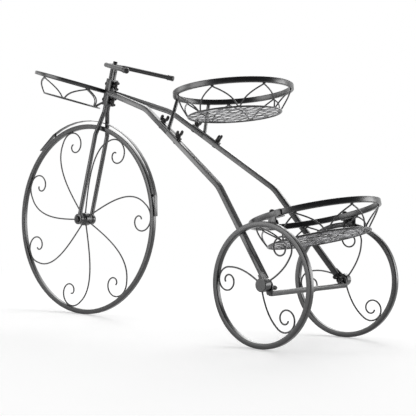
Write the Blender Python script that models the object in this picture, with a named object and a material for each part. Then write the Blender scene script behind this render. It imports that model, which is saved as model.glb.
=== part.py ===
"""Tricycle planter stand in powder-coated steel.

A tall front wheel with scroll spokes turns in a leaning fork. Two square frame tubes run back from the
fork's stem to a pair of small rear wheels. Three round wire baskets hold flower pots: a small one in front
of the stem, one on posts over the frame like a saddle, and one bolted between the rear wheels.

Metres, +Z up. The front of the vehicle points to -X and its left side to -Y. All places below are first
worked out from the point on the floor under the front axle; one empty then centres the whole stand.
"""
import math

import bmesh
import bpy
from mathutils import Matrix, Quaternion, Vector

# Clearances shared by every joint
touch_gap = 0.0003
running_gap = 0.0005
cut_overrun = 0.004
seam_distance = 0.00001

# Wheels
front_wheel_radius = 0.210
rear_wheel_radius = 0.112
wheelbase = 0.594
rear_wheel_gap = 0.0135
rear_toe = math.radians(3.4)
rim_depth = 0.010
rim_width = 0.010
tube_corner = 0.0013
spoke_wire_radius = 0.0016

# Spokes: where each curl leans on its rim, in degrees from straight back. They were bent and set by hand.
front_spoke_places = (104.5, 57.5, 1.0, -54.5, -103.5, -156.5, -205.0)
front_curl_radius = 0.038
front_curl_end_radius = 0.0040
front_curl_power = 0.83
front_curl_sweep = math.radians(400.0)
front_curl_start = math.radians(70.0)
front_spoke_root = math.radians(30.0)
front_spoke_leave = math.radians(26.0)
rear_spoke_places = {"left": (58.0, 178.0, -62.0), "right": (84.0, 204.0, -36.0)}
rear_curl_radius = 0.025
rear_curl_end_radius = 0.0060
rear_curl_power = 1.0
rear_curl_sweep = math.radians(480.0)
rear_curl_start = math.radians(96.0)
rear_spoke_root = math.radians(34.0)
rear_spoke_leave = math.radians(30.0)
spoke_pull_share = 0.335
spoke_weld_depth = 0.0010

# Front hub and axle
front_hub_radius = 0.0140
front_hub_waist_radius = 0.0115
axle_radius = 0.0030
axle_head_radius = 0.0068
axle_head_height = 0.0040
axle_nut_radius = 0.0062
axle_nut_height = 0.0050
washer_thickness = 0.0010
washer_radius = 0.0078

# Fender, carried by the front rim
fender_radius = 0.2178
fender_width = 0.0094
fender_thickness = 0.0014
fender_centre = math.radians(67.5)
fender_spacer_reach = math.radians(52.0)
fender_front_tail = 0.057
fender_rear_tail = 0.0445
fender_spacer_radius = 0.0030
fender_weld_depth = 0.0005

# Fork and stem, measured along the leaning steering line from the front axle
steering_lean = math.radians(13.2)
fork_tube = 0.0080
fork_half_spread = 0.0180
crown_low = 0.190
crown_high = 0.243
crown_bend_radius = 0.016
stem_top = 0.3385
fork_eye_radius = 0.0116
fork_eye_thickness = 0.0084

# Handlebar
handlebar_tube_radius = 0.0048
handlebar_front_half = 0.018
handlebar_bend_radius = 0.018
handlebar_sweep = math.radians(20.5)
grip_reach_back = 0.108
grip_sleeve_length = 0.011
grip_sleeve_wall = 0.0009
grip_cap_length = 0.003
handlebar_screw_head_radius = 0.0048
handlebar_screw_head_height = 0.0052
screw_head_top_share = 0.8
screw_head_side_share = 0.75
handlebar_screw_radius = 0.0020
handlebar_screw_length = 0.016

# Head joint between stem, frame and front basket
head_drop = 0.0532
head_half_length = 0.0290
head_web = 0.0025
head_flange = 0.0022
head_bracket_depth = 0.0055
head_bracket_lap = 0.0045
front_bar_depth = 0.0086
front_bar_half_width = 0.0036
head_bolt_radius = 0.0020
head_bolt_half_spacing = 0.01725
bolt_head_radius = 0.0050
bolt_head_height = 0.0036
bolt_head_shares = (0.6, 0.8)
bolt_clearance = 0.0003

# Frame tubes, from the head joint back and down to the rear hubs
frame_tube = 0.0110
frame_start_half = 0.0105
frame_bend_shares = (0.3603, 0.7609)
frame_bend_front_height = 0.443
frame_bend_rear_height = 0.286
frame_front_bend_radius = 0.090
frame_rear_bend_radius = 0.070
frame_end_short = 0.0125
frame_joint_share = 0.322
frame_joint_gap = 0.0006
spigot_width = 0.0080
spigot_half_length = 0.038

# Wing nuts
wing_nut_radius = 0.0054
wing_nut_height = 0.0066
wing_nut_top_share = 0.8
wing_span = 0.0096
wing_height = 0.0145
wing_thickness = 0.0024
wing_root_shares = (0.15, 0.85)
wing_tip_shares = ((0.85, 0.35), (1.0, 0.72), (0.85, 1.0), (0.55, 0.95))

# Pot baskets: the seat and rear ones are nearly alike, the front one is smaller
seat_basket_radius = 0.119
seat_basket_floor_radius = 0.0935
rear_basket_radius = 0.123
rear_basket_floor_radius = 0.0975
basket_depth = 0.0535
basket_tube_height = 0.0110
basket_tube_width = 0.0075
basket_arch_count = 6
basket_arch_phase = math.radians(44.0)
arch_wire_radius = 0.0015
floor_wire_radius = 0.0018
floor_sheet = 0.0014
floor_strand = 0.0034
mesh_pitch_long = 0.0420
mesh_pitch_short = 0.0265
leaf_outline_shares = ((-1.0, 0.0), (-0.2, -0.83), (0.45, -0.57), (1.0, 0.0), (0.2, 0.83), (-0.45, 0.57))
arch_peak_inset = 0.0065
arch_bow_share = 0.16

front_basket_radius = 0.0948
front_basket_floor_radius = 0.0654
front_basket_depth = 0.0448
front_basket_tube_height = 0.0078
front_basket_tube_width = 0.0062
front_basket_roll = math.radians(-5.8)
front_basket_arch_phase = math.radians(30.0)
front_basket_shift = 0.0039

seat_behind_joint = 0.1179
seat_above_joint = 0.0871
seat_tilt = math.radians(6.9)
rear_basket_behind_axle = 0.0143
rear_basket_above_wheels = 0.0201
rear_basket_tilt = math.radians(14.4)

# Seat posts and their foot plates
post_width = 0.0064
post_ring_angle = math.radians(25.0)
post_foot_shift = -0.0025
foot_plate_thickness = 0.0028
foot_plate_width = 0.0125
foot_plate_half_length = 0.0365
foot_bolt_shifts = {"front": -0.0270, "rear": 0.0330}
foot_bolt_radius = 0.0023

# Rear wheels' joints: hub, end plate, axle bar and basket lugs
rear_hub_radius = 0.0123
rear_hub_outer_half = 0.0026
rear_hub_face = 0.0024
rear_hub_inner_half = 0.0125
rear_bolt_radius = 0.0028
end_plate_thickness = 0.0026
end_plate_radius = 0.0105
end_plate_lap = 0.012
axle_bar_tube = 0.0090
axle_bar_drops = {"left": 0.0150, "right": 0.0100}
axle_bar_back = 0.0078
axle_tab_half_width = 0.0075
axle_tab_top_share = 0.5
axle_tab_thickness = 0.0024
lug_thickness = 0.0024
lug_front_half = 0.0080
lug_inner_half = 0.0060
lug_bolt_radius = 0.0021
lug_bolt_ring_angle = math.radians(94.5)
lug_tab_ring_angle = math.radians(87.0)
lug_tab_half_width = 0.0062
lug_leg_half_width = 0.0080
lug_leg_overlap = 0.0088

# How finely the round pieces are drawn
front_rim_steps = 64
rear_rim_steps = 40
ring_steps = 48
floor_wire_steps = 36
wire_sides = 5
round_sides = 16
small_sides = 8
curl_steps = 17
curl_step_power = 1.25
lead_steps = 4
bend_steps = 5
arch_steps = 4

# Finish colours
coat_colour = (0.075, 0.075, 0.080)
mesh_colour = (0.16, 0.16, 0.165)
hardware_colour = (0.02, 0.02, 0.022)


# Helpers for frames, meshes and materials
def clear_scene():
    for old in list(bpy.data.objects):
        bpy.data.objects.remove(old)


def coated(name, colour, roughness, metallic):
    material = bpy.data.materials.new(name)
    material.use_nodes = True
    shader = material.node_tree.nodes["Principled BSDF"]
    shader.inputs["Base Color"].default_value = (*colour, 1.0)
    shader.inputs["Roughness"].default_value = roughness
    shader.inputs["Metallic"].default_value = metallic
    return material


def add_part(name, bm, colour, parent, roughness=0.45, metallic=0.3):
    """Closes a bmesh into a named object with outward faces and its own material."""
    bmesh.ops.recalc_face_normals(bm, faces=bm.faces)
    mesh = bpy.data.meshes.new(name)
    bm.to_mesh(mesh)
    bm.free()
    mesh.shade_smooth()
    mesh.set_sharp_from_angle(angle=math.radians(32.0))
    part = bpy.data.objects.new(name, mesh)
    bpy.context.scene.collection.objects.link(part)
    part.data.materials.append(coated(name + "_finish", colour, roughness, metallic))
    part.parent = parent
    return part


def merge_into(bm, other, matrix=None):
    """Adds another bmesh's solids to bm and frees it."""
    if matrix is not None:
        other.transform(matrix)
    temp = bpy.data.meshes.new("merge")
    other.to_mesh(temp)
    other.free()
    bm.from_mesh(temp)
    bpy.data.meshes.remove(temp)


def combine(base, tools, operation):
    """Boolean of one bmesh with a list of others, by the exact solver; all of them are freed."""
    bmesh.ops.recalc_face_normals(base, faces=base.faces)
    base_mesh = bpy.data.meshes.new("base")
    base.to_mesh(base_mesh)
    base.free()
    holder = bpy.data.objects.new("base", base_mesh)
    bpy.context.scene.collection.objects.link(holder)
    helpers = []
    for tool in tools:
        bmesh.ops.recalc_face_normals(tool, faces=tool.faces)
        tool_mesh = bpy.data.meshes.new("tool")
        tool.to_mesh(tool_mesh)
        tool.free()
        helper = bpy.data.objects.new("tool", tool_mesh)
        helper.hide_render = True
        helper.display_type = "WIRE"
        bpy.context.scene.collection.objects.link(helper)
        helpers.append(helper)
        step = holder.modifiers.new("join", "BOOLEAN")
        step.operation = operation
        step.solver = "EXACT"
        step.object = helper
    bpy.context.view_layer.update()
    graph = bpy.context.evaluated_depsgraph_get()
    result = bmesh.new()
    result.from_mesh(holder.evaluated_get(graph).to_mesh())
    bmesh.ops.remove_doubles(result, verts=result.verts, dist=seam_distance)
    bmesh.ops.dissolve_degenerate(result, edges=result.edges, dist=seam_distance)
    for used in [holder, *helpers]:
        mesh = used.data
        bpy.data.objects.remove(used)
        bpy.data.meshes.remove(mesh)
    return result


def sweep(points, section, plane_normal, closed=False, start_face=None, end_face=None):
    """Carries a flat section along a planar path. Section points are (inward side, along the normal).

    An open end is cut square to the path, or along the plane whose normal is given for it.
    """
    bm = bmesh.new()
    normal = Vector(plane_normal).normalized()
    path = [Vector(p) for p in points]
    count = len(path)
    loops = []
    for index, place in enumerate(path):
        if closed or 0 < index < count - 1:
            before = (place - path[index - 1]).normalized()
            after = (path[(index + 1) % count] - place).normalized()
        elif index == 0:
            before = after = (path[1] - place).normalized()
        else:
            before = after = (place - path[index - 1]).normalized()
        tangent = (before + after).normalized()
        side = normal.cross(tangent)
        stretch = 1.0 / max(tangent.dot(after), 0.5)
        corners = [place + side * a * stretch + normal * b for a, b in section]
        face = {0: start_face, count - 1: end_face}.get(index)
        if face is not None:
            corners = [c - tangent * ((c - place).dot(face) / tangent.dot(face)) for c in corners]
        loops.append([bm.verts.new(c) for c in corners])
    bridge(bm, loops, closed)
    return bm


def bridge(bm, loops, closed):
    """Skins a row of equal vertex loops with quads, capped unless the row closes on itself."""
    pairs = zip(loops, loops[1:] + loops[:1]) if closed else zip(loops, loops[1:])
    for first, second in pairs:
        size = len(first)
        for i in range(size):
            j = (i + 1) % size
            bm.faces.new((first[i], first[j], second[j], second[i]))
    if not closed:
        bm.faces.new(loops[0])
        bm.faces.new(list(reversed(loops[-1])))


def wire(points, radius, sides=wire_sides):
    """A round wire through points in space, with a frame that turns as little as it can."""
    bm = bmesh.new()
    path = [Vector(p) for p in points]
    tangents = []
    for index in range(len(path)):
        ahead = path[min(index + 1, len(path) - 1)]
        behind = path[max(index - 1, 0)]
        tangents.append((ahead - behind).normalized())
    side = tangents[0].orthogonal().normalized()
    loops = []
    for index, place in enumerate(path):
        side = (side - tangents[index] * side.dot(tangents[index])).normalized()
        up = tangents[index].cross(side)
        loop = []
        for k in range(sides):
            turn = math.tau * k / sides
            loop.append(bm.verts.new(place + (side * math.cos(turn) + up * math.sin(turn)) * radius))
        loops.append(loop)
    bridge(bm, loops, False)
    return bm


def round_section(radius, sides):
    return [(radius * math.cos(math.tau * k / sides), radius * math.sin(math.tau * k / sides))
            for k in range(sides)]


def box_section(width, height, corner=tube_corner):
    """A rectangle with cut corners: width across the path, height along the plane's normal."""
    w = width / 2
    h = height / 2
    return [(w - corner, -h), (w, -h + corner), (w, h - corner), (w - corner, h),
            (-w + corner, h), (-w, h - corner), (-w, -h + corner), (-w + corner, -h)]


def hoop_section(width, height, corner=tube_corner):
    """A rectangle for a hoop: its outer corners are cut, and its inner ones, which never show, are sharp."""
    w = width / 2
    h = height / 2
    return [(w, -h), (w, h), (-w + corner, h), (-w, h - corner), (-w, -h + corner), (-w + corner, -h)]


def hoop(centre, axis, radius, section, steps):
    """A section bent to a full circle. The circle's flats, not its corners, lie at the stated radius."""
    axis = Vector(axis).normalized()
    first = (Vector((1.0, 0.0, 0.0)) - axis * axis.x).normalized()
    second = axis.cross(first)
    corner_radius = radius / math.cos(math.pi / steps)
    points = []
    for k in range(steps):
        turn = math.tau * (k + 0.5) / steps
        points.append(Vector(centre) + (first * math.cos(turn) + second * math.sin(turn)) * corner_radius)
    return sweep(points, section, axis, closed=True)


def turned(profile, base, axis, sides=round_sides):
    """Turns (radius, height) points about an axis: a closed outline away from it, or one that ends on it."""
    bm = bmesh.new()
    turn = Vector((0.0, 0.0, 1.0)).rotation_difference(Vector(axis)).to_matrix().to_4x4()
    rings = []
    for radius, height in profile:
        if radius == 0:
            rings.append([bm.verts.new((0.0, 0.0, height))])
        else:
            rings.append([bm.verts.new((radius * math.cos(math.tau * k / sides),
                                        radius * math.sin(math.tau * k / sides), height))
                          for k in range(sides)])
    pairs = list(zip(rings, rings[1:]))
    if profile[0][0] > 0:
        pairs.append((rings[-1], rings[0]))
    for first, second in pairs:
        for k in range(sides):
            j = (k + 1) % sides
            corners = []
            for ring, index in ((first, k), (first, j), (second, j), (second, k)):
                vertex = ring[index % len(ring)]
                if vertex not in corners:
                    corners.append(vertex)
            bm.faces.new(corners)
    bm.transform(Matrix.Translation(Vector(base)) @ turn)
    return bm


def clear_of(shank_radius, sides=small_sides):
    """The corner radius of a faceted hole whose flats clear a shank."""
    return (shank_radius + bolt_clearance) / math.cos(math.pi / sides)


def rod(start, end, radius, sides=small_sides):
    """A plain round bar between two points."""
    start = Vector(start)
    length = (Vector(end) - start).length
    profile = [(0.0, 0.0), (radius, 0.0), (radius, length), (0.0, length)]
    return turned(profile, start, Vector(end) - start, sides)


def sleeve(start, end, outer, bore, sides=round_sides):
    """A round tube between two points."""
    start = Vector(start)
    length = (Vector(end) - start).length
    profile = [(outer, 0.0), (outer, length), (bore, length), (bore, 0.0)]
    return turned(profile, start, Vector(end) - start, sides)


def plate(outline, origin, along, up, thickness):
    """Extrudes a flat outline, given as (along, up) points, by half its thickness to each side."""
    along = Vector(along).normalized()
    up = Vector(up).normalized()
    normal = along.cross(up)
    bm = bmesh.new()
    sides = []
    for offset in (-thickness / 2, thickness / 2):
        level = Vector(origin) + normal * offset
        sides.append([bm.verts.new(level + along * a + up * b) for a, b in outline])
    bridge(bm, sides, False)
    return bm


def block(centre, along, up, length, height, thickness):
    """A plain bar centred on a point."""
    a = length / 2
    b = height / 2
    return plate([(-a, -b), (a, -b), (a, b), (-a, b)], centre, along, up, thickness)


def filleted(corners, radii, steps=bend_steps):
    """Rounds the inner corners of a polyline: each corner becomes an arc of its own radius."""
    path = [Vector(c) for c in corners]
    points = [path[0]]
    for index in range(1, len(path) - 1):
        corner = path[index]
        back = (path[index - 1] - corner).normalized()
        ahead = (path[index + 1] - corner).normalized()
        half_angle = back.angle(ahead) / 2
        radius = radii[index - 1]
        centre = corner + (back + ahead).normalized() * (radius / math.sin(half_angle))
        start = corner + back * (radius / math.tan(half_angle)) - centre
        total = math.pi - 2 * half_angle
        axis = back.cross(ahead).normalized()
        for k in range(steps + 1):
            points.append(centre + Quaternion(axis, -total * k / steps) @ start)
    points.append(path[-1])
    return points


# Directions and key points
front_axle = Vector((0.0, 0.0, front_wheel_radius))
straight_up = Vector((0.0, 0.0, 1.0))
straight_back = Vector((1.0, 0.0, 0.0))
across = Vector((0.0, 1.0, 0.0))
stem_up = Vector((math.sin(steering_lean), 0.0, math.cos(steering_lean)))
stem_back = Vector((math.cos(steering_lean), 0.0, -math.sin(steering_lean)))
sides = ((-1, "left"), (1, "right"))
fork_half = fork_tube / 2
stem_half_width = fork_tube + touch_gap / 2
stem_centre_y = fork_half + touch_gap / 2
frame_half = frame_tube / 2
head_bolt_lift = stem_top - head_drop
head_bolt_lifts = {"upper": head_bolt_lift + head_bolt_half_spacing,
                   "lower": head_bolt_lift - head_bolt_half_spacing}
bracket_back = fork_half + head_bracket_depth
bar_back = -fork_half - touch_gap
bar_front = bar_back - front_bar_depth
rear_half_track = rear_basket_radius + rear_wheel_gap
frame_bend_front = (wheelbase * frame_bend_shares[0], frame_bend_front_height)
frame_bend_rear = (wheelbase * frame_bend_shares[1], frame_bend_rear_height)
frame_joint_x = frame_bend_front[0] + (frame_bend_rear[0] - frame_bend_front[0]) * frame_joint_share
frame_joint_z = frame_bend_front[1] + (frame_bend_rear[1] - frame_bend_front[1]) * frame_joint_share
seat_centre = (frame_joint_x + seat_behind_joint, frame_joint_z + seat_above_joint)
rear_basket_centre = (wheelbase + rear_basket_behind_axle, 2 * rear_wheel_radius + rear_basket_above_wheels)
front_basket_tilt = -steering_lean


def on_stem(lift, back=0.0, side=0.0):
    """A point given along the steering line from the axle, behind it, and to the right of it."""
    return front_axle + stem_up * lift + stem_back * back + across * side


def wheel_axes(side):
    """A rear wheel's own directions: backwards in its plane, and outwards from the vehicle."""
    back = Vector((math.cos(rear_toe), side * math.sin(rear_toe), 0.0))
    outward = Vector((-math.sin(rear_toe), side * math.cos(rear_toe), 0.0))
    return back, outward


def rear_hub(side):
    return Vector((wheelbase, side * rear_half_track, rear_wheel_radius))


# Wheels
def rim(centre, axis, radius, steps):
    """Square tube with rounded corners, bent to a hoop that stands on one of its flats."""
    return hoop(centre, axis, radius - rim_depth / 2, hoop_section(rim_depth, rim_width), steps)


def scroll(inner_radius, hub_radius, root, leave, curl, curl_end, power, sweep_angle, start_angle):
    """One spoke in its wheel's plane, as (outward, sideways) points: a bowed stem that ends in a curl.

    The curl leans on the rim's inner face, and its radius shrinks from curl to curl_end.
    """
    def curl_radius(angle):
        return curl - (curl - curl_end) * ((start_angle - angle) / sweep_angle) ** power

    middle = inner_radius - running_gap - spoke_wire_radius - curl_radius(0.0)
    turn_points = []
    for k in range(curl_steps + 1):
        angle = start_angle - sweep_angle * (k / curl_steps) ** curl_step_power
        radius = curl_radius(angle)
        turn_points.append(Vector((middle + radius * math.cos(angle), radius * math.sin(angle))))
    start = Vector((math.cos(root), math.sin(root))) * hub_radius
    pull = (turn_points[0] - start).length * spoke_pull_share
    near = start + Vector((math.cos(leave), math.sin(leave))) * pull
    far = turn_points[0] + (turn_points[0] - turn_points[1]).normalized() * pull
    stem_points = []
    for k in range(lead_steps):
        t = k / lead_steps
        stem_points.append(start * (1 - t) ** 3 + near * 3 * t * (1 - t) ** 2
                           + far * 3 * t * t * (1 - t) + turn_points[0] * t ** 3)
    return stem_points + turn_points


def spoked_hub(hub, outline, places, centre, back, hand):
    """Welds a scroll to the hub for each place. hand is +1 where the stems bow up and over to the back."""
    spokes = []
    for place in places:
        turn = math.radians(place)
        outwards = back * math.cos(turn) + straight_up * math.sin(turn)
        sideways = back * -math.sin(turn) + straight_up * math.cos(turn)
        spokes.append(wire([centre + outwards * p.x + sideways * (hand * p.y) for p in outline],
                           spoke_wire_radius))
    return combine(hub, spokes, "UNION")


def build_front_wheel(parent):
    """Front rim, hub with spokes, and fender, measured from the axle, where the parent sits."""
    centre = Vector((0.0, 0.0, 0.0))
    add_part("front_rim", rim(centre, across, front_wheel_radius, front_rim_steps), coat_colour, parent)

    hub_half = fork_half_spread - fork_eye_thickness / 2 - washer_thickness - 2 * touch_gap
    bore = clear_of(axle_radius)
    waist = front_hub_waist_radius
    lip = front_hub_radius - waist
    half_profile = [(bore, hub_half), (waist, hub_half), (waist, hub_half - lip),
                    (front_hub_radius, hub_half - 2 * lip)]
    profile = [(radius, -height) for radius, height in half_profile]
    profile += reversed(half_profile)
    outline = scroll(front_wheel_radius - rim_depth, front_hub_radius - spoke_weld_depth, front_spoke_root,
                     front_spoke_leave, front_curl_radius, front_curl_end_radius, front_curl_power,
                     front_curl_sweep, front_curl_start)
    hub = spoked_hub(turned(profile, centre, across), outline, front_spoke_places, centre, straight_back, 1)
    add_part("front_hub_spokes", hub, coat_colour, parent)

    def place(angle, radius, along=0.0):
        """A point of the fender's line; along runs straight on past the spacer at that angle."""
        outwards = straight_back * math.cos(angle) + straight_up * math.sin(angle)
        onwards = straight_back * -math.sin(angle) + straight_up * math.cos(angle)
        return outwards * radius + onwards * along

    high = fender_centre + fender_spacer_reach
    low = fender_centre - fender_spacer_reach
    arc_steps = front_rim_steps // 4
    line = [place(low, fender_radius, -fender_rear_tail)]
    for k in range(arc_steps + 1):
        line.append(place(low + (high - low) * k / arc_steps, fender_radius))
    line.append(place(high, fender_radius, fender_front_tail))
    strip = sweep(line, box_section(fender_thickness, fender_width, fender_thickness / 4), across)
    spacers = []
    for angle in (high, low):
        rim_face = front_wheel_radius / math.cos(math.pi / front_rim_steps) + touch_gap
        weld = fender_radius - fender_thickness / 2 + fender_weld_depth
        spacers.append(rod(place(angle, rim_face), place(angle, weld), fender_spacer_radius))
    add_part("fender", combine(strip, spacers, "UNION"), coat_colour, parent)


def build_rear_wheel(side, word, parent):
    """A fixed rear wheel: rim, and a hub with three scrolls, closed outside, that the frame is bolted to."""
    back, outward = wheel_axes(side)
    centre = rear_hub(side)
    axis = outward * side
    add_part("rear_rim_" + word, rim(centre, axis, rear_wheel_radius, rear_rim_steps), coat_colour, parent)
    outline = scroll(rear_wheel_radius - rim_depth, rear_hub_radius - spoke_weld_depth, rear_spoke_root,
                     rear_spoke_leave, rear_curl_radius, rear_curl_end_radius, rear_curl_power,
                     rear_curl_sweep, rear_curl_start)
    bore = clear_of(rear_bolt_radius)
    bore_end = rear_hub_outer_half - rear_hub_face
    profile = [(0.0, rear_hub_outer_half), (rear_hub_radius, rear_hub_outer_half),
               (rear_hub_radius, -rear_hub_inner_half), (bore, -rear_hub_inner_half), (bore, bore_end),
               (0.0, bore_end)]
    hub = spoked_hub(turned(profile, centre, outward), outline, rear_spoke_places[word], centre, back, -1)
    add_part("rear_hub_spokes_" + word, hub, coat_colour, parent)


# Fork, stem and handlebar
def build_fork(parent):
    """Two bent square tubes, one each side of the wheel, that come together as the stem."""
    for side, word in sides:
        corners = [on_stem(axle_radius + fork_half, 0.0, side * fork_half_spread),
                   on_stem(crown_low, 0.0, side * fork_half_spread),
                   on_stem(crown_high, 0.0, side * stem_centre_y),
                   on_stem(stem_top, 0.0, side * stem_centre_y)]
        leg = sweep(filleted(corners, [crown_bend_radius] * 2), box_section(fork_tube, fork_tube), stem_back)
        middle = on_stem(0.0, 0.0, side * fork_half_spread)
        reach = across * fork_eye_thickness / 2
        leg = combine(leg, [rod(middle - reach, middle + reach, fork_eye_radius, round_sides)], "UNION")
        cutters = [rod(middle - 2 * reach, middle + 2 * reach, clear_of(axle_radius))]
        for lift in head_bolt_lifts.values():
            cutters.append(rod(on_stem(lift, -fork_tube), on_stem(lift, fork_tube),
                               clear_of(head_bolt_radius)))
        screw_end = stem_top - handlebar_screw_length - cut_overrun
        cutters.append(rod(on_stem(screw_end), on_stem(stem_top + cut_overrun),
                           clear_of(handlebar_screw_radius)))
        add_part("fork_leg_" + word, combine(leg, cutters, "DIFFERENCE"), coat_colour, parent)


def build_axle(parent):
    """The front axle: a bolt through the fork's eyes and the hub, with its nut and washers."""
    eye_out = fork_half_spread + fork_eye_thickness / 2 + touch_gap
    eye_in = fork_half_spread - fork_eye_thickness / 2 - touch_gap
    nut_far = eye_out + axle_nut_height
    dome = axle_head_height / 3
    head = eye_out + axle_head_height
    profile = [(0.0, -head), (axle_head_radius - dome, -head), (axle_head_radius, -head + dome),
               (axle_head_radius, -eye_out), (axle_radius, -eye_out), (axle_radius, nut_far), (0.0, nut_far)]
    add_part("front_axle_bolt", turned(profile, front_axle, across), hardware_colour, parent)
    nut = sleeve(front_axle + across * eye_out, front_axle + across * (nut_far - dome),
                 axle_nut_radius, clear_of(axle_radius, 6))
    add_part("front_axle_nut", nut, hardware_colour, parent)
    for side, word in sides:
        start = front_axle + across * side * (eye_in - washer_thickness)
        washer = sleeve(start, front_axle + across * side * eye_in, washer_radius, clear_of(axle_radius))
        add_part("front_axle_washer_" + word, washer, hardware_colour, parent)


def build_handlebar(parent):
    """A bent round bar across the stem's top, held by a screw, with a cap on each end."""
    lift = stem_top + touch_gap + handlebar_tube_radius
    bend_turn = math.pi / 2 - handlebar_sweep
    half = []
    for k in range(bend_steps + 1):
        angle = bend_turn * k / bend_steps
        half.append((handlebar_bend_radius * (1 - math.cos(angle)),
                     handlebar_front_half + handlebar_bend_radius * math.sin(angle)))
    arm_back, arm_side = half[-1]
    half.append((grip_reach_back, arm_side + (grip_reach_back - arm_back) * math.tan(handlebar_sweep)))
    line = [on_stem(lift, back, -side) for back, side in reversed(half)]
    line += [on_stem(lift, back, side) for back, side in half]
    bar = sweep(line, round_section(handlebar_tube_radius, small_sides), stem_up)
    bar_reach = handlebar_tube_radius + cut_overrun
    hole = rod(on_stem(lift - bar_reach), on_stem(lift + bar_reach), clear_of(handlebar_screw_radius))
    add_part("handlebar", combine(bar, [hole], "DIFFERENCE"), coat_colour, parent)

    bore = handlebar_tube_radius + touch_gap
    outer = bore + grip_sleeve_wall
    inside = grip_sleeve_length + touch_gap
    cap_top = inside + grip_cap_length
    soft = grip_cap_length / 3
    profile = [(0.0, cap_top), (outer - soft, cap_top), (outer, cap_top - soft), (outer, 0.0), (bore, 0.0),
               (bore, inside), (0.0, inside)]
    for word, end, inner in (("left", line[0], line[1]), ("right", line[-1], line[-2])):
        outwards = (end - inner).normalized()
        cap = turned(profile, end - outwards * grip_sleeve_length, outwards)
        add_part("handlebar_cap_" + word, cap, hardware_colour, parent)

    head = handlebar_screw_head_height
    reach = handlebar_screw_length + 2 * handlebar_tube_radius
    radius = handlebar_screw_head_radius
    profile = [(0.0, head), (radius * screw_head_top_share, head), (radius, head * screw_head_side_share),
               (radius, 0.0), (handlebar_screw_radius, 0.0), (handlebar_screw_radius, -reach), (0.0, -reach)]
    seat = on_stem(lift + handlebar_tube_radius + touch_gap)
    add_part("handlebar_screw", turned(profile, seat, stem_up, small_sides), hardware_colour, parent)


# Fasteners
def dome_bolt(name, seat, direction, radius, length, parent):
    """A dome-headed bolt: the head's flat underside sits at seat and the shank runs along direction."""
    wide, high = bolt_head_shares
    profile = [(0.0, -bolt_head_height), (bolt_head_radius * wide, -bolt_head_height * high),
               (bolt_head_radius, 0.0), (radius, 0.0), (radius, length), (0.0, length)]
    add_part(name, turned(profile, seat, direction, small_sides), hardware_colour, parent)


def wing_nut(name, seat, direction, wings_along, bolt_radius, parent):
    """A wing nut on its seat: a coned barrel with a bore and two upswept ears."""
    direction = Vector(direction).normalized()
    along = Vector(wings_along)
    along = (along - direction * along.dot(direction)).normalized()
    bore = clear_of(bolt_radius)
    top_radius = max(wing_nut_radius * wing_nut_top_share, bore + wing_thickness / 2)
    profile = [(wing_nut_radius, 0.0), (top_radius, wing_nut_height), (bore, wing_nut_height), (bore, 0.0)]
    barrel = turned(profile, seat, direction, small_sides)
    root = (bore + wing_nut_radius) / 2
    ears = []
    for sign in (-1, 1):
        outline = [(sign * root, wing_nut_height * wing_root_shares[0])]
        outline += [(sign * wing_span * wide, wing_height * high) for wide, high in wing_tip_shares]
        outline.append((sign * root, wing_nut_height * wing_root_shares[1]))
        ears.append(plate(outline, seat, along, direction, wing_thickness))
    add_part(name, combine(barrel, ears, "UNION"), hardware_colour, parent)


def nut_length():
    """Shank past the last plate: through the wing nut and a little out of it."""
    return wing_nut_height + 3 * touch_gap


# Head joint
def build_head(parent):
    """Channel behind the stem that the frame is welded to, and a bar in front that carries the basket."""
    inner = stem_half_width + touch_gap
    outer = inner + head_flange
    web_front = bracket_back - head_web
    flange_front = fork_half - head_bracket_lap
    outline = [(bracket_back, -outer), (bracket_back, outer), (flange_front, outer), (flange_front, inner),
               (web_front, inner), (web_front, -inner), (flange_front, -inner), (flange_front, -outer)]
    bracket = plate(outline, on_stem(head_bolt_lift), stem_back, across, 2 * head_half_length)
    bar = block(on_stem(head_bolt_lift, (bar_front + bar_back) / 2), stem_back, across, front_bar_depth,
                2 * front_bar_half_width, 2 * head_half_length)

    def shafts():
        return [rod(on_stem(lift, bar_front - cut_overrun), on_stem(lift, bracket_back + cut_overrun),
                    clear_of(head_bolt_radius)) for lift in head_bolt_lifts.values()]

    add_part("head_bracket", combine(bracket, shafts(), "DIFFERENCE"), coat_colour, parent)
    add_part("front_basket_bar", combine(bar, shafts(), "DIFFERENCE"), coat_colour, parent)
    for word, lift in head_bolt_lifts.items():
        length = bracket_back - bar_front + 2 * touch_gap + nut_length()
        dome_bolt("head_bolt_" + word, on_stem(lift, bar_front - touch_gap), stem_back, head_bolt_radius,
                  length, parent)
        wing_nut("head_wing_nut_" + word, on_stem(lift, bracket_back + touch_gap), stem_back, stem_up,
                 head_bolt_radius, parent)


# Frame
def frame_line(side):
    """Head end, front bend, rear bend and hub end of a frame tube's centre line, in one upright plane."""
    start = on_stem(head_bolt_lift, bracket_back + touch_gap)
    back, outward = wheel_axes(side)
    hub = rear_hub(side)
    drop = Vector((hub.x - frame_bend_rear[0], 0.0, hub.z - frame_bend_rear[1])).normalized()
    inboard = rear_hub_inner_half + touch_gap + end_plate_thickness / 2 + frame_half
    end = hub - (back * drop.x + straight_up * drop.z) * frame_end_short - outward * inboard
    slope = (abs(end.y) - frame_start_half) / (end.x - start.x)

    def at(x, z):
        return Vector((x, side * (frame_start_half + slope * (x - start.x)), z))

    return [at(start.x, start.z), at(*frame_bend_front), at(*frame_bend_rear), at(end.x, end.z)]


def frame_joint(side):
    """The frame joint's centre, with the tube's direction there, the tube plane's normal, and the way up."""
    _, bend_front, bend_rear, _ = frame_line(side)
    run = (bend_rear - bend_front).normalized()
    joint = bend_front + run * ((frame_joint_x - bend_front.x) / run.x)
    sideways = straight_up.cross(run).normalized()
    return joint, run, sideways, run.cross(sideways)


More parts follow.
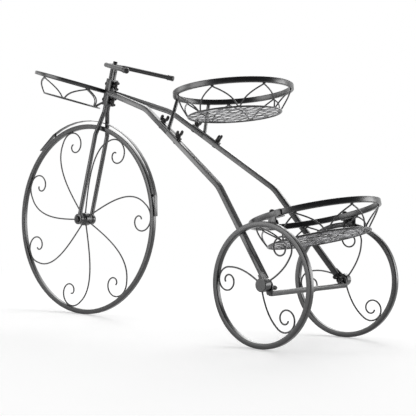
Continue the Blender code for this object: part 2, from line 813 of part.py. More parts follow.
def foot_bolt_shafts(side, bolt_radius):
    """The two bolt holes that pass square through a frame joint and the foot plate over it."""
    joint, run, _, upward = frame_joint(side)
    reach = upward * (frame_tube + foot_plate_thickness + cut_overrun)
    shafts = []
    for shift in foot_bolt_shifts.values():
        shafts.append(rod(joint + run * shift - reach, joint + run * shift + reach, bolt_radius))
    return shafts


def build_frame(parent):
    """Each side is two tubes that meet under the seat on a hidden square spigot, with a plate at the hub."""
    section = box_section(frame_tube, frame_tube)
    shaft = clear_of(foot_bolt_radius)
    for side, word in sides:
        start, bend_front, bend_rear, end = frame_line(side)
        joint, run, sideways, _ = frame_joint(side)
        socket_width = spigot_width + 2 * touch_gap
        socket_depth = 2 * (spigot_half_length + touch_gap)
        gap = run * frame_joint_gap / 2
        path = filleted([start, bend_front, joint - gap], [frame_front_bend_radius])
        front = sweep(path, section, sideways, start_face=stem_back)
        socket = block(joint, run, sideways, socket_depth, socket_width, socket_width)
        front = combine(front, [socket, *foot_bolt_shafts(side, shaft)], "DIFFERENCE")
        add_part("frame_front_tube_" + word, front, coat_colour, parent)

        path = filleted([joint + gap, bend_rear, end], [frame_rear_bend_radius])
        rear = combine(sweep(path, section, sideways), [end_plate(side, end - bend_rear)], "UNION")
        hub = rear_hub(side)
        back, outward = wheel_axes(side)
        drill = rod(hub, hub - outward * (rear_hub_inner_half + end_plate_thickness + cut_overrun),
                    clear_of(rear_bolt_radius))
        socket = block(joint, run, sideways, socket_depth, socket_width, socket_width)
        rear = combine(rear, [socket, drill, *foot_bolt_shafts(side, shaft)], "DIFFERENCE")
        add_part("frame_rear_tube_" + word, rear, coat_colour, parent)

        spigot = block(joint, run, sideways, 2 * spigot_half_length, spigot_width, spigot_width)
        spigot = combine(spigot, foot_bolt_shafts(side, shaft), "DIFFERENCE")
        add_part("frame_spigot_" + word, spigot, hardware_colour, parent)


def end_plate(side, run):
    """The flat tab at a rear tube's end: it lies against the hub and is rounded about the hub bolt."""
    back, outward = wheel_axes(side)
    middle = rear_hub(side) - outward * (rear_hub_inner_half + touch_gap + end_plate_thickness / 2)
    down = Vector(back * run.dot(back) + straight_up * run.z).normalized()
    square = straight_up * down.dot(back) - back * down.z
    outline = [(-frame_end_short - end_plate_lap, -frame_half)]
    for k in range(2 * bend_steps + 1):
        turn = -math.pi / 2 + math.pi * k / (2 * bend_steps)
        outline.append((end_plate_radius * math.cos(turn), end_plate_radius * math.sin(turn)))
    outline.append((-frame_end_short - end_plate_lap, frame_half))
    return plate(outline, middle, down, square, end_plate_thickness)


# Baskets
def basket_axes(centre, tilt, roll=0.0):
    """A basket's top centre and its own directions: back and right in its top plane, and up from it."""
    back = Vector((math.cos(tilt), 0.0, math.sin(tilt)))
    level_up = Vector((-math.sin(tilt), 0.0, math.cos(tilt)))
    right = across * math.cos(roll) + level_up * math.sin(roll)
    up = level_up * math.cos(roll) - across * math.sin(roll)
    return Vector((centre[0], 0.0, centre[1])), back, right, up


def build_basket(name, axes, radius, floor_radius, depth, tube_height, tube_width, phase, parent,
                 bolt_angles=()):
    """Tube hoop on top, gothic wire arches on a wire ring, and a sheet of pierced mesh as the floor."""
    top, back, right, up = axes

    def at(angle, r, drop):
        """A point by its angle round the basket, its radius, and its depth below the top."""
        return top + (back * math.cos(angle) + right * math.sin(angle)) * r - up * drop

    ring = hoop(at(0.0, 0.0, tube_height / 2), up, radius - tube_width / 2,
                hoop_section(tube_width, tube_height), ring_steps)
    if bolt_angles:
        bolt_circle = radius - tube_width / 2
        drills = [rod(at(angle, bolt_circle, tube_height + cut_overrun), at(angle, bolt_circle, -cut_overrun),
                      clear_of(lug_bolt_radius)) for angle in bolt_angles]
        ring = combine(ring, drills, "DIFFERENCE")
    add_part(name + "_ring", ring, coat_colour, parent)

    foot_radius = floor_radius - floor_wire_radius
    foot_drop = depth - floor_wire_radius
    floor_wire = hoop(at(0.0, 0.0, foot_drop), up, foot_radius, round_section(floor_wire_radius, wire_sides),
                      floor_wire_steps)
    peak_radius = radius - arch_peak_inset
    peak_drop = tube_height + touch_gap + arch_wire_radius
    half_step = math.pi / basket_arch_count - (arch_wire_radius + touch_gap) / foot_radius
    arches = []
    for k in range(basket_arch_count):
        peak = phase + math.tau * k / basket_arch_count
        points = []
        for step in range(-arch_steps, arch_steps + 1):
            share = abs(step) / arch_steps
            turn_share = share + arch_bow_share * math.sin(math.pi * share)
            points.append(at(peak + math.copysign(turn_share, step) * half_step,
                             peak_radius + (foot_radius - peak_radius) * share,
                             peak_drop + (foot_drop - peak_drop) * share))
        arches.append(wire(points, arch_wire_radius))
    add_part(name + "_arches", combine(floor_wire, arches, "UNION"), coat_colour, parent)
    mesh = pierced_floor(at(0.0, 0.0, foot_drop), back, up, foot_radius - floor_wire_radius - touch_gap)
    add_part(name + "_floor", mesh, mesh_colour, parent, 0.5, 0.4)


def pierced_floor(middle, back, up, edge):
    """A round sheet with staggered leaf-shaped holes, the look of a decorative expanded mesh."""
    side = up.cross(back)
    half = up * floor_sheet / 2
    sheet = rod(middle - half, middle + half, edge, floor_wire_steps)
    half_long = (mesh_pitch_long - floor_strand) / 2
    half_short = (mesh_pitch_short - floor_strand) / 2
    outline = [(half_long * p, half_short * q) for p, q in leaf_outline_shares]
    holes = bmesh.new()
    rows = math.ceil(edge / mesh_pitch_short) * 2
    columns = math.ceil(edge / mesh_pitch_long) + 1
    limit = edge - floor_strand
    for row in range(-rows, rows + 1):
        for column in range(-columns, columns + 1):
            a = column * mesh_pitch_long + (row % 2) * mesh_pitch_long / 2
            b = row * mesh_pitch_short / 2
            if max(math.hypot(a + p, b + q) for p, q in outline) > limit:
                continue
            merge_into(holes, plate(outline, middle + back * a + side * b, back, side, 2 * floor_sheet))
    return combine(sheet, [holes], "DIFFERENCE")


# Seat basket supports
def build_seat_supports(parent):
    """Two posts under the seat basket's front, each on a plate that is bolted over a frame joint."""
    top, basket_back, _, basket_up = basket_axes(seat_centre, seat_tilt)
    bolts_middle = sum(foot_bolt_shifts.values()) / len(foot_bolt_shifts)
    for side, word in sides:
        joint, run, sideways, upward = frame_joint(side)
        plate_low = frame_half + touch_gap
        plate_high = plate_low + foot_plate_thickness
        middle = joint + run * bolts_middle + upward * (plate_low + foot_plate_thickness / 2)
        foot = block(middle, run, sideways, 2 * foot_plate_half_length, foot_plate_width,
                     foot_plate_thickness)
        angle = math.pi - side * post_ring_angle
        outwards = basket_back * math.cos(angle) + across * math.sin(angle)
        head = top + outwards * (seat_basket_radius - basket_tube_width / 2)
        head -= basket_up * (basket_tube_height + touch_gap)
        base = middle + run * (post_foot_shift - bolts_middle)
        line = (head - base).normalized()
        post_side = (across - line * line.y).normalized()
        post = sweep([base, head], box_section(post_width, post_width), post_side,
                     start_face=upward, end_face=basket_up)
        support = combine(foot, [post], "UNION")
        support = combine(support, foot_bolt_shafts(side, clear_of(foot_bolt_radius)), "DIFFERENCE")
        add_part("seat_post_" + word, support, coat_colour, parent)
        for end, shift in foot_bolt_shifts.items():
            place = joint + run * shift
            length = frame_half + plate_high + 2 * touch_gap + nut_length()
            dome_bolt("seat_bolt_" + word + "_" + end, place - upward * plate_low, upward, foot_bolt_radius,
                      length, parent)
            wing_nut("seat_wing_nut_" + word + "_" + end, place + upward * (plate_high + touch_gap), upward,
                     sideways, foot_bolt_radius, parent)


# Rear joints
def build_axle_bar(parent):
    """The square bar between the rear hubs with its end tabs, and a stud and wing nut in each hub."""
    plate_in = rear_hub_inner_half + touch_gap + end_plate_thickness
    tab_in = plate_in + touch_gap + axle_tab_thickness
    bar_half = axle_bar_tube / 2
    tabs = []
    drills = []
    ends = []
    for side, word in sides:
        back, outward = wheel_axes(side)
        hub = rear_hub(side)
        middle = hub - outward * (tab_in - axle_tab_thickness / 2)
        half = axle_tab_half_width
        low = tube_corner - bar_half - axle_bar_drops[word]
        outline = [(-half, 0.0), (axle_bar_back - half, low), (axle_bar_back + bar_half, low),
                   (axle_bar_back + bar_half, 0.0), (half, half), (-half * axle_tab_top_share, half)]
        tabs.append(plate(outline, middle, back, straight_up, axle_tab_thickness))
        drills.append(rod(hub, hub - outward * (tab_in + cut_overrun), clear_of(rear_bolt_radius)))
        ends.append(middle + back * axle_bar_back - straight_up * axle_bar_drops[word])
        start = hub + outward * (rear_hub_outer_half - rear_hub_face - touch_gap)
        stud = rod(start, hub - outward * (tab_in + 2 * touch_gap + nut_length()), rear_bolt_radius)
        add_part("rear_hub_bolt_" + word, stud, hardware_colour, parent)
        wing_nut("rear_hub_wing_nut_" + word, hub - outward * (tab_in + touch_gap), -outward, straight_up,
                 rear_bolt_radius, parent)
    bar = sweep(ends, box_section(axle_bar_tube, axle_bar_tube), straight_up)
    add_part("axle_bar", combine(combine(bar, tabs, "UNION"), drills, "DIFFERENCE"), coat_colour, parent)


def build_lugs(parent):
    """Folded lugs on the rear rims' inner faces: a shelf under the basket's ring, and a tab beside it."""
    top, basket_back, _, basket_up = basket_axes(rear_basket_centre, rear_basket_tilt)
    ring_corner = rear_basket_radius / math.cos(math.pi / ring_steps)
    for side, word in sides:
        back, outward = wheel_axes(side)
        hub = rear_hub(side)
        angle = side * lug_bolt_ring_angle
        out = basket_back * math.cos(angle) + across * math.sin(angle)
        along = (basket_back * math.sin(abs(angle)) - across * side * math.cos(abs(angle))).normalized()
        bolt = top + out * (rear_basket_radius - basket_tube_width / 2)
        leg_face = hub - outward * (rim_width / 2 + touch_gap + lug_thickness / 2)
        reach = (leg_face - bolt).dot(outward) / out.dot(outward)
        shelf_drop = basket_tube_height + touch_gap + lug_thickness / 2
        tab_shift = (lug_bolt_ring_angle - lug_tab_ring_angle) * rear_basket_radius
        rear_end = tab_shift + lug_tab_half_width
        outline = [(-lug_front_half, -lug_inner_half), (rear_end, -lug_inner_half), (rear_end, reach),
                   (-lug_front_half, reach)]
        shelf = plate(outline, bolt - basket_up * shelf_drop, along, out, lug_thickness)

        tab_angle = side * lug_tab_ring_angle
        tab_out = basket_back * math.cos(tab_angle) + across * math.sin(tab_angle)
        tab_along = basket_up.cross(tab_out)
        tab_middle = top + tab_out * (ring_corner + touch_gap + lug_thickness / 2)
        tab_middle -= basket_up * shelf_drop / 2
        tab = block(tab_middle, tab_along, basket_up, 2 * lug_tab_half_width, shelf_drop, lug_thickness)

        shelf_end = bolt + out * reach - basket_up * shelf_drop
        rise = math.tan(rear_basket_tilt)
        low = hub.z + rear_wheel_radius - lug_leg_overlap - shelf_end.z
        middle_shift = (rear_end - lug_front_half) / 2
        near = middle_shift - lug_leg_half_width
        far = middle_shift + lug_leg_half_width
        leg = plate([(near, low), (far, low), (far, far * rise), (near, near * rise)], shelf_end, back,
                    straight_up, lug_thickness)
        lug = combine(shelf, [tab, leg], "UNION")
        through = basket_up * (lug_thickness + cut_overrun)
        seat = bolt - basket_up * shelf_drop
        lug = combine(lug, [rod(seat - through, seat + through, clear_of(lug_bolt_radius))], "DIFFERENCE")
        add_part("rear_basket_lug_" + word, lug, coat_colour, parent)
        length = basket_tube_height + lug_thickness + 3 * touch_gap + nut_length()
        dome_bolt("rear_basket_bolt_" + word, bolt + basket_up * touch_gap, -basket_up, lug_bolt_radius,
                  length, parent)
        wing_nut("rear_basket_wing_nut_" + word, seat - basket_up * (lug_thickness / 2 + touch_gap),
                 -basket_up, along, lug_bolt_radius, parent)


# Assembly
def add_empty(name, location, parent):
    empty = bpy.data.objects.new(name, None)
    empty.location = location
    empty.parent = parent
    bpy.context.scene.collection.objects.link(empty)
    return empty


def build():
    clear_scene()
    ring_reach = rear_basket_radius * math.cos(rear_basket_tilt)
    ring_reach += (basket_tube_height - tube_corner) * math.sin(rear_basket_tilt)
    rear_reach = max(rear_basket_centre[0] + ring_reach, wheelbase + rear_wheel_radius * math.cos(rear_toe))
    middle = (rear_reach - front_wheel_radius) / 2
    stand = add_empty("planter_origin", (-middle, 0.0, 0.0), None)
    axle = add_empty("front_axle", front_axle, stand)
    build_front_wheel(axle)
    build_fork(stand)
    build_axle(stand)
    build_handlebar(stand)
    build_head(stand)
    build_frame(stand)
    hoop_back = on_stem(head_bolt_lift + front_basket_shift, bar_front - touch_gap)
    corner_reach = front_basket_radius / math.cos(math.pi / ring_steps)
    front_centre = (hoop_back.x - corner_reach * math.cos(front_basket_tilt),
                    hoop_back.z - corner_reach * math.sin(front_basket_tilt))
    build_basket("front_basket", basket_axes(front_centre, front_basket_tilt, front_basket_roll),
                 front_basket_radius, front_basket_floor_radius, front_basket_depth, front_basket_tube_height,
                 front_basket_tube_width, front_basket_arch_phase, stand)
    build_basket("seat_basket", basket_axes(seat_centre, seat_tilt), seat_basket_radius,
                 seat_basket_floor_radius, basket_depth, basket_tube_height, basket_tube_width,
                 basket_arch_phase, stand)
    build_basket("rear_basket", basket_axes(rear_basket_centre, rear_basket_tilt), rear_basket_radius,
                 rear_basket_floor_radius, basket_depth, basket_tube_height, basket_tube_width,
                 basket_arch_phase, stand, (lug_bolt_ring_angle, -lug_bolt_ring_angle))
    build_seat_supports(stand)
    for side, word in sides:
        build_rear_wheel(side, word, stand)
    build_axle_bar(stand)
    build_lugs(stand)
    bpy.context.view_layer.update()


build()
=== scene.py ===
from functools import partial
from math import copysign, cos, pi, radians, sin, tan, tau

import bmesh
import bpy
from mathutils import Matrix, Vector
from mathutils.noise import noise


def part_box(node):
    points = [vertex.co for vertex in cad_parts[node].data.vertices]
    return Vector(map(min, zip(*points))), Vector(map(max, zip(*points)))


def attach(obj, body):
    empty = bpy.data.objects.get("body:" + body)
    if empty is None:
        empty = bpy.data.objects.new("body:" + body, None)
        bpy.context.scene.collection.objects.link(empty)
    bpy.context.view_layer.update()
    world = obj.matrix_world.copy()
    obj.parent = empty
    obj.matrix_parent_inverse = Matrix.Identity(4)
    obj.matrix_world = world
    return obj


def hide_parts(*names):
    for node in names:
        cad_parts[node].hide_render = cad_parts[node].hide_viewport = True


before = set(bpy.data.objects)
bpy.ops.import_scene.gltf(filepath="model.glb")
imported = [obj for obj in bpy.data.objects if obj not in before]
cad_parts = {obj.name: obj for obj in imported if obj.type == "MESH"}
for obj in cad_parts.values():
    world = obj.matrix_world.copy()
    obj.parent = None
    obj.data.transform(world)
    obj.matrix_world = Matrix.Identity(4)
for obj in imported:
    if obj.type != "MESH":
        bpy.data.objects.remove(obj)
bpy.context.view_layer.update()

# Sizes that the looks share with the solids, in metres: wheels
front_wheel_radius = 0.210
rear_wheel_radius = 0.112
wheelbase = 0.594
rear_half_track = 0.1365
rear_toe = radians(3.4)
rim_depth = 0.010
rim_width = 0.010
rim_corner = 0.0014
spoke_wire_radius = 0.0016
spoke_pull_share = 0.335
touch_gap = 0.0003
running_gap = 0.0005
fender_centre = radians(67.5)
fender_spacer_reach = radians(52.0)

# Fork, handlebar and head joint
steering_lean = radians(13.2)
fork_half_spread = 0.0180
fork_eye_thickness = 0.0084
washer_thickness = 0.0010
stem_top = 0.3385
handlebar_tube_radius = 0.0048
handlebar_front_half = 0.018
handlebar_bend_radius = 0.018
handlebar_sweep = radians(20.5)
grip_reach_back = 0.108
grip_sleeve_length = 0.011
grip_sleeve_wall = 0.0009
head_bolt_lift = 0.2853
head_bolt_half_spacing = 0.01725
bracket_back = 0.0095
bar_front = -0.0129

# Frame tubes and rear hubs
frame_tube = 0.0110
frame_start_half = 0.0105
frame_bend_front = (wheelbase * 0.3603, 0.443)
frame_bend_rear = (wheelbase * 0.7609, 0.286)
frame_joint_share = 0.322
frame_end_short = 0.0125
rear_hub_radius = 0.0123
rear_hub_outer_half = 0.0026
rear_hub_inner_half = 0.0125
end_plate_thickness = 0.0026
axle_tab_thickness = 0.0024

# Baskets, and the plates and lugs they are bolted to
basket_tube_height = 0.0110
basket_tube_width = 0.0075
basket_tube_corner = 0.0013
basket_depth = 0.0535
arch_wire_radius = 0.0015
arch_peak_inset = 0.0065
arch_bow_share = 0.16
floor_wire_radius = 0.0018
front_basket_radius = 0.0948
front_basket_roll = radians(-5.8)
front_basket_shift = 0.0039
front_ring_sides = 48
seat_behind_joint = 0.1179
seat_above_joint = 0.0871
seat_tilt = radians(6.9)
rear_basket_radius = 0.123
rear_basket_centre = (wheelbase + 0.0143, 2 * rear_wheel_radius + 0.0201)
rear_basket_tilt = radians(14.4)
foot_plate_thickness = 0.0028
foot_bolt_shifts = (("front", -0.027), ("rear", 0.033))
lug_thickness = 0.0024
lug_bolt_ring_angle = radians(94.5)

# Fasteners
bolt_head_radius = 0.0050
bolt_head_height = 0.0036
head_bolt_radius = 0.0020
foot_bolt_radius = 0.0023
rear_bolt_radius = 0.0028
lug_bolt_radius = 0.0021
wing_nut_height = 0.0066
past_nut = wing_nut_height + 3 * touch_gap

# What the looks follow from the photograph instead of the solids: places in degrees from straight back
front_spoke_places = (104.5, 57.5, 1.0, -54.5, -103.5, -156.5, -205.0)
rear_spoke_places = {"left": (58.0, 178.0, -44.0), "right": (84.0, 190.0, -41.0)}
fender_tail_bends = {"front": 10.0, "rear": 12.6}
seat_nut_turns = {"left_front": -9.0, "left_rear": 12.0, "right_front": -15.0, "right_rear": 6.0}
hub_nut_wings = Vector((0.8, 0.0, -0.6))
hub_nut_swell = (1.3, 1.3, 1.1)
foot_bolt_head_height = 0.0012

# How meshes made by hand are finished
crease_angle = 32.0
merge_distance = 0.00001

# Directions, and places worked out from the frame
hands = ((-1, "left"), (1, "right"))
straight_up = Vector((0.0, 0.0, 1.0))
straight_back = Vector((1.0, 0.0, 0.0))
across = Vector((0.0, 1.0, 0.0))
stem_up = Vector((sin(steering_lean), 0.0, cos(steering_lean)))
stem_back = Vector((cos(steering_lean), 0.0, -sin(steering_lean)))
rim_low, rim_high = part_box("front_rim")
ground = Vector(((rim_low.x + rim_high.x) / 2, 0.0, 0.0))
front_axle = ground + straight_up * front_wheel_radius


def on_stem(lift, back=0.0, side=0.0):
    return front_axle + stem_up * lift + stem_back * back + across * side


def wheel_axes(side):
    """Straight back and straight out for a rear wheel, which toes in."""
    back = Vector((cos(rear_toe), side * sin(rear_toe), 0.0))
    outward = Vector((-sin(rear_toe), side * cos(rear_toe), 0.0))
    return back, outward


def rear_hub(side):
    return ground + Vector((wheelbase, side * rear_half_track, rear_wheel_radius))


def placing(origin, z_axis, x_hint):
    """The matrix that puts a pattern's origin at a point, its Z along a direction and its X near another."""
    z = Vector(z_axis).normalized()
    x = Vector(x_hint)
    x = (x - z * x.dot(z)).normalized()
    y = z.cross(x)
    rows = [(x[i], y[i], z[i], origin[i]) for i in range(3)]
    return Matrix((*rows, (0, 0, 0, 1)))


# Colours and node helpers
mix_share = 0
mix_first = 6
mix_second = 7


def srgb(code):
    """A colour written as sRGB hex, as the linear values the renderer works in."""
    parts = [int(code[i:i + 2], 16) / 255 for i in (1, 3, 5)]
    return (*[c / 12.92 if c <= 0.04045 else ((c + 0.055) / 1.055) ** 2.4 for c in parts], 1.0)


def fill(node, inputs):
    """Sets or links a node's inputs; a node given as a value means its first output that is in use."""
    for socket, value in inputs.items():
        if isinstance(value, bpy.types.Node):
            value = next(output for output in value.outputs if output.enabled)
        if isinstance(value, bpy.types.NodeSocket):
            node.id_data.links.new(value, node.inputs[socket])
        else:
            node.inputs[socket].default_value = value


def add_node(tree, kind, inputs=None, **settings):
    """Adds a node with its settings, and fills its inputs by name or number."""
    node = tree.nodes.new(kind)
    for name, value in settings.items():
        setattr(node, name, value)
    fill(node, inputs or {})
    return node


def per_mm(millimetres):
    """A noise scale whose blotches are about this wide, on coordinates in metres."""
    return 1000.0 / millimetres


def new_finish(name):
    """A fresh material, the call that adds its nodes, its shader, and the place its patterns lie on."""
    material = bpy.data.materials.new(name)
    material.use_nodes = True
    add = partial(add_node, material.node_tree)
    place = add("ShaderNodeTexCoord").outputs["Object"]
    return material, add, material.node_tree.nodes["Principled BSDF"], place


def felt_edges(add, radius):
    """A normal rounded over the corners, the face's own, and how far they agree, which is 1 on flats."""
    rounded = add("ShaderNodeBevel", {"Radius": radius}, samples=4)
    facing = add("ShaderNodeNewGeometry").outputs["Normal"]
    match = add("ShaderNodeVectorMath", {0: rounded, 1: facing}, operation="DOT_PRODUCT")
    return rounded, facing, match


# Powder-coated steel
def powder_coat(name, deep, pale, dust, roughness, gloss_spread, peel_mm, peel_depth, cloud_mm=38,
        cloud_edge=0.5):
    """Satin skin with orange peel, faint clouds in its tone, dust where it lies level, and corners painted
    paler as a highlight.
    """
    material, add, shader, place = new_finish(name)
    rounded, facing, match = felt_edges(add, 0.0007)
    # On the leaf mesh these clouds are strong, and their pale and dark patches are painted highlight and
    # painted shade.
    clouds = add("ShaderNodeTexNoise", {"Vector": place, "Scale": per_mm(cloud_mm), "Detail": 4.0})
    drift = add("ShaderNodeMapRange",
        {"Value": clouds, "From Min": 0.5 - cloud_edge, "From Max": 0.5 + cloud_edge})
    tone = add("ShaderNodeMix", {mix_first: srgb(deep), mix_second: srgb(pale), mix_share: drift},
        data_type="RGBA")
    # Painted highlight: corners are mixed towards pale grey, standing in for light caught along every edge.
    edge = add("ShaderNodeMapRange", {"Value": match, "From Min": 0.995, "From Max": 0.93, "To Min": 0.0,
        "To Max": 0.35})
    thin = add("ShaderNodeMix", {mix_first: tone, mix_second: srgb("#6a6a6c"), mix_share: edge},
        data_type="RGBA")
    level = add("ShaderNodeSeparateXYZ", {0: facing})
    lying = add("ShaderNodeMapRange", {"Value": level.outputs["Z"], "From Min": 0.55, "From Max": 1.0,
        "To Min": 0.0, "To Max": dust})
    speckle = add("ShaderNodeTexNoise", {"Vector": place, "Scale": per_mm(5), "Detail": 6.0})
    amount = add("ShaderNodeMath", {0: lying, 1: speckle}, operation="MULTIPLY")
    dusty = add("ShaderNodeMix", {mix_first: thin, mix_second: srgb("#9a9895"), mix_share: amount},
        data_type="RGBA")
    grain = add("ShaderNodeTexNoise", {"Vector": place, "Scale": per_mm(9), "Detail": 3.0})
    satin = add("ShaderNodeMapRange", {"Value": grain, "From Min": 0.3, "From Max": 0.7,
        "To Min": roughness - gloss_spread, "To Max": roughness + gloss_spread})
    peel = add("ShaderNodeTexNoise", {"Vector": place, "Scale": per_mm(peel_mm), "Detail": 2.0})
    bump = add("ShaderNodeBump", {"Height": peel, "Strength": 0.6, "Distance": peel_depth, "Normal": rounded})
    fill(shader, {"Base Color": dusty, "Roughness": satin, "Normal": bump, "Metallic": 0.0, "IOR": 1.52,
        "Specular IOR Level": 0.62})
    return material


# Real orange peel is about 0.6 mm wide. It is drawn 1.0 to 1.4 mm wide, so that it shows in the render.
frame_coat = powder_coat("satin_powder_coat_on_tube", "#151517", "#1e1e20", dust=0.05, roughness=0.29,
    gloss_spread=0.012, peel_mm=1.4, peel_depth=0.000018)
wire_coat = powder_coat("satin_powder_coat_on_wire", "#161618", "#1f1f21", dust=0.03, roughness=0.30,
    gloss_spread=0.02, peel_mm=1.0, peel_depth=0.000015)
# The leaf mesh looks mottled from black to pale grey; this mottling is painted highlight and painted shade on
# its strands, so its clouds are small and strong.
mesh_coat = powder_coat("grey_powder_coat_on_leaf_mesh", "#111113", "#a2a2a6", dust=0.10, roughness=0.34,
    gloss_spread=0.05, peel_mm=1.0, peel_depth=0.000015, cloud_mm=16, cloud_edge=0.06)


# Blackened steel
def blackened_steel():
    """Zinc-plated steel turned black: rougher than the coat, with a painted highlight brightening its raised
    edges.
    """
    material, add, shader, place = new_finish("blackened_zinc_steel")
    rounded, _, match = felt_edges(add, 0.0005)
    # Painted highlight: raised edges are mixed towards pale grey, standing in for light caught on them.
    edge_highlight = add("ShaderNodeMapRange", {"Value": match, "From Min": 0.99, "From Max": 0.9, "To Min": 0.0,
        "To Max": 0.55})
    blotch = add("ShaderNodeTexNoise", {"Vector": place, "Scale": per_mm(2.5), "Detail": 5.0})
    tone = add("ShaderNodeMix", {mix_first: srgb("#101012"), mix_second: srgb("#1f1e1f"), mix_share: blotch},
        data_type="RGBA")
    bright = add("ShaderNodeMix", {mix_first: tone, mix_second: srgb("#77756f"), mix_share: edge_highlight},
        data_type="RGBA")
    satin = add("ShaderNodeMapRange", {"Value": blotch, "From Min": 0.3, "From Max": 0.7, "To Min": 0.34,
        "To Max": 0.52})
    bump = add("ShaderNodeBump", {"Height": blotch, "Strength": 0.4, "Distance": 0.00005, "Normal": rounded})
    fill(shader, {"Base Color": bright, "Roughness": satin, "Normal": bump, "Metallic": 0.35})
    return material


# Dipped vinyl
def moulded_vinyl():
    """Black dipped vinyl caps: a soft, slightly glossy skin with a fine matt grain and rub marks."""
    material, add, shader, place = new_finish("black_moulded_vinyl")
    rubs = add("ShaderNodeTexNoise", {"Vector": place, "Scale": per_mm(4), "Detail": 5.0})
    tone = add("ShaderNodeMix", {mix_first: srgb("#141415"), mix_second: srgb("#232324"), mix_share: rubs},
        data_type="RGBA")
    satin = add("ShaderNodeMapRange", {"Value": rubs, "From Min": 0.3, "From Max": 0.7, "To Min": 0.28,
        "To Max": 0.46})
    grain = add("ShaderNodeTexNoise", {"Vector": place, "Scale": per_mm(0.9), "Detail": 2.0})
    bump = add("ShaderNodeBump", {"Height": grain, "Strength": 0.5, "Distance": 0.00005})
    fill(shader, {"Base Color": tone, "Roughness": satin, "Normal": bump, "IOR": 1.53})
    return material


steel_dark = blackened_steel()
vinyl = moulded_vinyl()


# Meshes made by hand
def shade(piece, crease=crease_angle):
    """Shades a piece smooth but for corners sharper than so many degrees."""
    piece.data.shade_smooth()
    piece.data.set_sharp_from_angle(angle=radians(crease))


def new_object(name, data=None):
    """A linked object that holds the data, or an empty mesh."""
    piece = bpy.data.objects.new(name, data or bpy.data.meshes.new(name))
    bpy.context.scene.collection.objects.link(piece)
    return piece


def plain_object(name, bm, finish):
    """Turns a bmesh into an object as it is."""
    piece = new_object(name)
    bm.to_mesh(piece.data)
    bm.free()
    piece.data.materials.append(finish)
    return piece


def mesh_object(name, bm, finish, crease=crease_angle):
    """Turns a bmesh into an object with outward faces, shaded smooth up to its creases."""
    bmesh.ops.recalc_face_normals(bm, faces=bm.faces)
    piece = plain_object(name, bm, finish)
    shade(piece, crease)
    return piece


def belongs(piece, *nodes, body="stand"):
    """Puts a finished piece on its body, and hides the solids it stands for."""
    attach(piece, body)
    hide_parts(*nodes)
    return piece


def bridge(bm, loops):
    """Skins a row of equal loops, and closes it at both ends."""
    for first, second in zip(loops, loops[1:]):
        for i in range(len(first)):
            j = (i + 1) % len(first)
            bm.faces.new((first[i], first[j], second[j], second[i]))
    bm.faces.new(loops[0])
    bm.faces.new(list(reversed(loops[-1])))


def wire(bm, points, radius, sides=12):
    """Adds a round wire along points, cut square at both ends."""
    tangents = []
    for index in range(len(points)):
        ahead = points[min(index + 1, len(points) - 1)]
        behind = points[max(index - 1, 0)]
        tangents.append((ahead - behind).normalized())
    side = tangents[0].orthogonal().normalized()
    loops = []
    for place, along in zip(points, tangents):
        side = (side - along * side.dot(along)).normalized()
        up = along.cross(side)
        turns = [tau * k / sides for k in range(sides)]
        loops.append([bm.verts.new(place + (side * cos(turn) + up * sin(turn)) * radius) for turn in turns])
    bridge(bm, loops)


def turned(bm, profile, sides=32):
    """Adds a lathe shape about Z from (radius, height) points.

    The points start and end on the axis, or else the last one joins the first again.
    """
    rings = []
    for radius, height in profile:
        turns = [tau * k / sides for k in range(sides if radius else 1)]
        rings.append([bm.verts.new((radius * cos(turn), radius * sin(turn), height)) for turn in turns])
    pairs = list(zip(rings, rings[1:]))
    if profile[0][0] > 0:
        pairs.append((rings[-1], rings[0]))
    for first, second in pairs:
        for k in range(sides):
            corners = []
            for ring, index in ((first, k), (first, (k + 1) % sides), (second, (k + 1) % sides), (second, k)):
                vertex = ring[index % len(ring)]
                if vertex not in corners:
                    corners.append(vertex)
            bm.faces.new(corners)


def settle(piece):
    """Turns a piece with modifiers into a plain mesh with none."""
    bpy.context.view_layer.update()
    graph = bpy.context.evaluated_depsgraph_get()
    mesh = bpy.data.meshes.new_from_object(piece.evaluated_get(graph), depsgraph=graph)
    piece.modifiers.clear()
    old = piece.data
    piece.data = mesh
    if old.users == 0:
        bpy.data.meshes.remove(old)
    mesh.name = piece.name


def refined(node, name, finish, body="stand", edge=0.0004):
    """A copy of a solid with its corners broken and its bends shaded smooth; it stands for the solid."""
    bm = bmesh.new()
    bm.from_mesh(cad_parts[node].data)
    bmesh.ops.remove_doubles(bm, verts=bm.verts, dist=merge_distance)
    bmesh.ops.dissolve_limit(bm, angle_limit=radians(0.6), verts=bm.verts, edges=bm.edges)
    piece = mesh_object(name, bm, finish)
    soften = piece.modifiers.new("broken_corners", "BEVEL")
    soften.width = edge
    soften.segments = 2
    soften.limit_method = "ANGLE"
    soften.angle_limit = radians(24.0)
    settle(piece)
    shade(piece)
    return belongs(piece, node, body=body)


# Node trees for what repeats or follows a rule
def new_tree(name, **inputs):
    """A geometry tree with inputs named by kind, the call that adds its nodes, its given values, its end."""
    tree = bpy.data.node_groups.new(name, "GeometryNodeTree")
    tree.interface.new_socket("Geometry", in_out="OUTPUT", socket_type="NodeSocketGeometry")
    for kind, labels in {"Geometry": ["Geometry"], **inputs}.items():
        for label in labels:
            tree.interface.new_socket(label, in_out="INPUT", socket_type="NodeSocket" + kind)
    add = partial(add_node, tree)
    return tree, add, add("NodeGroupInput").outputs, add("NodeGroupOutput")


def run_tree(piece, tree, values):
    """Runs a tree on a piece with the values for its inputs, and keeps the result as a plain mesh."""
    step = piece.modifiers.new(tree.name, "NODES")
    step.node_group = tree
    for item in tree.interface.items_tree:
        if item.in_out == "INPUT" and item.name in values:
            step[item.identifier] = values[item.name]
    settle(piece)


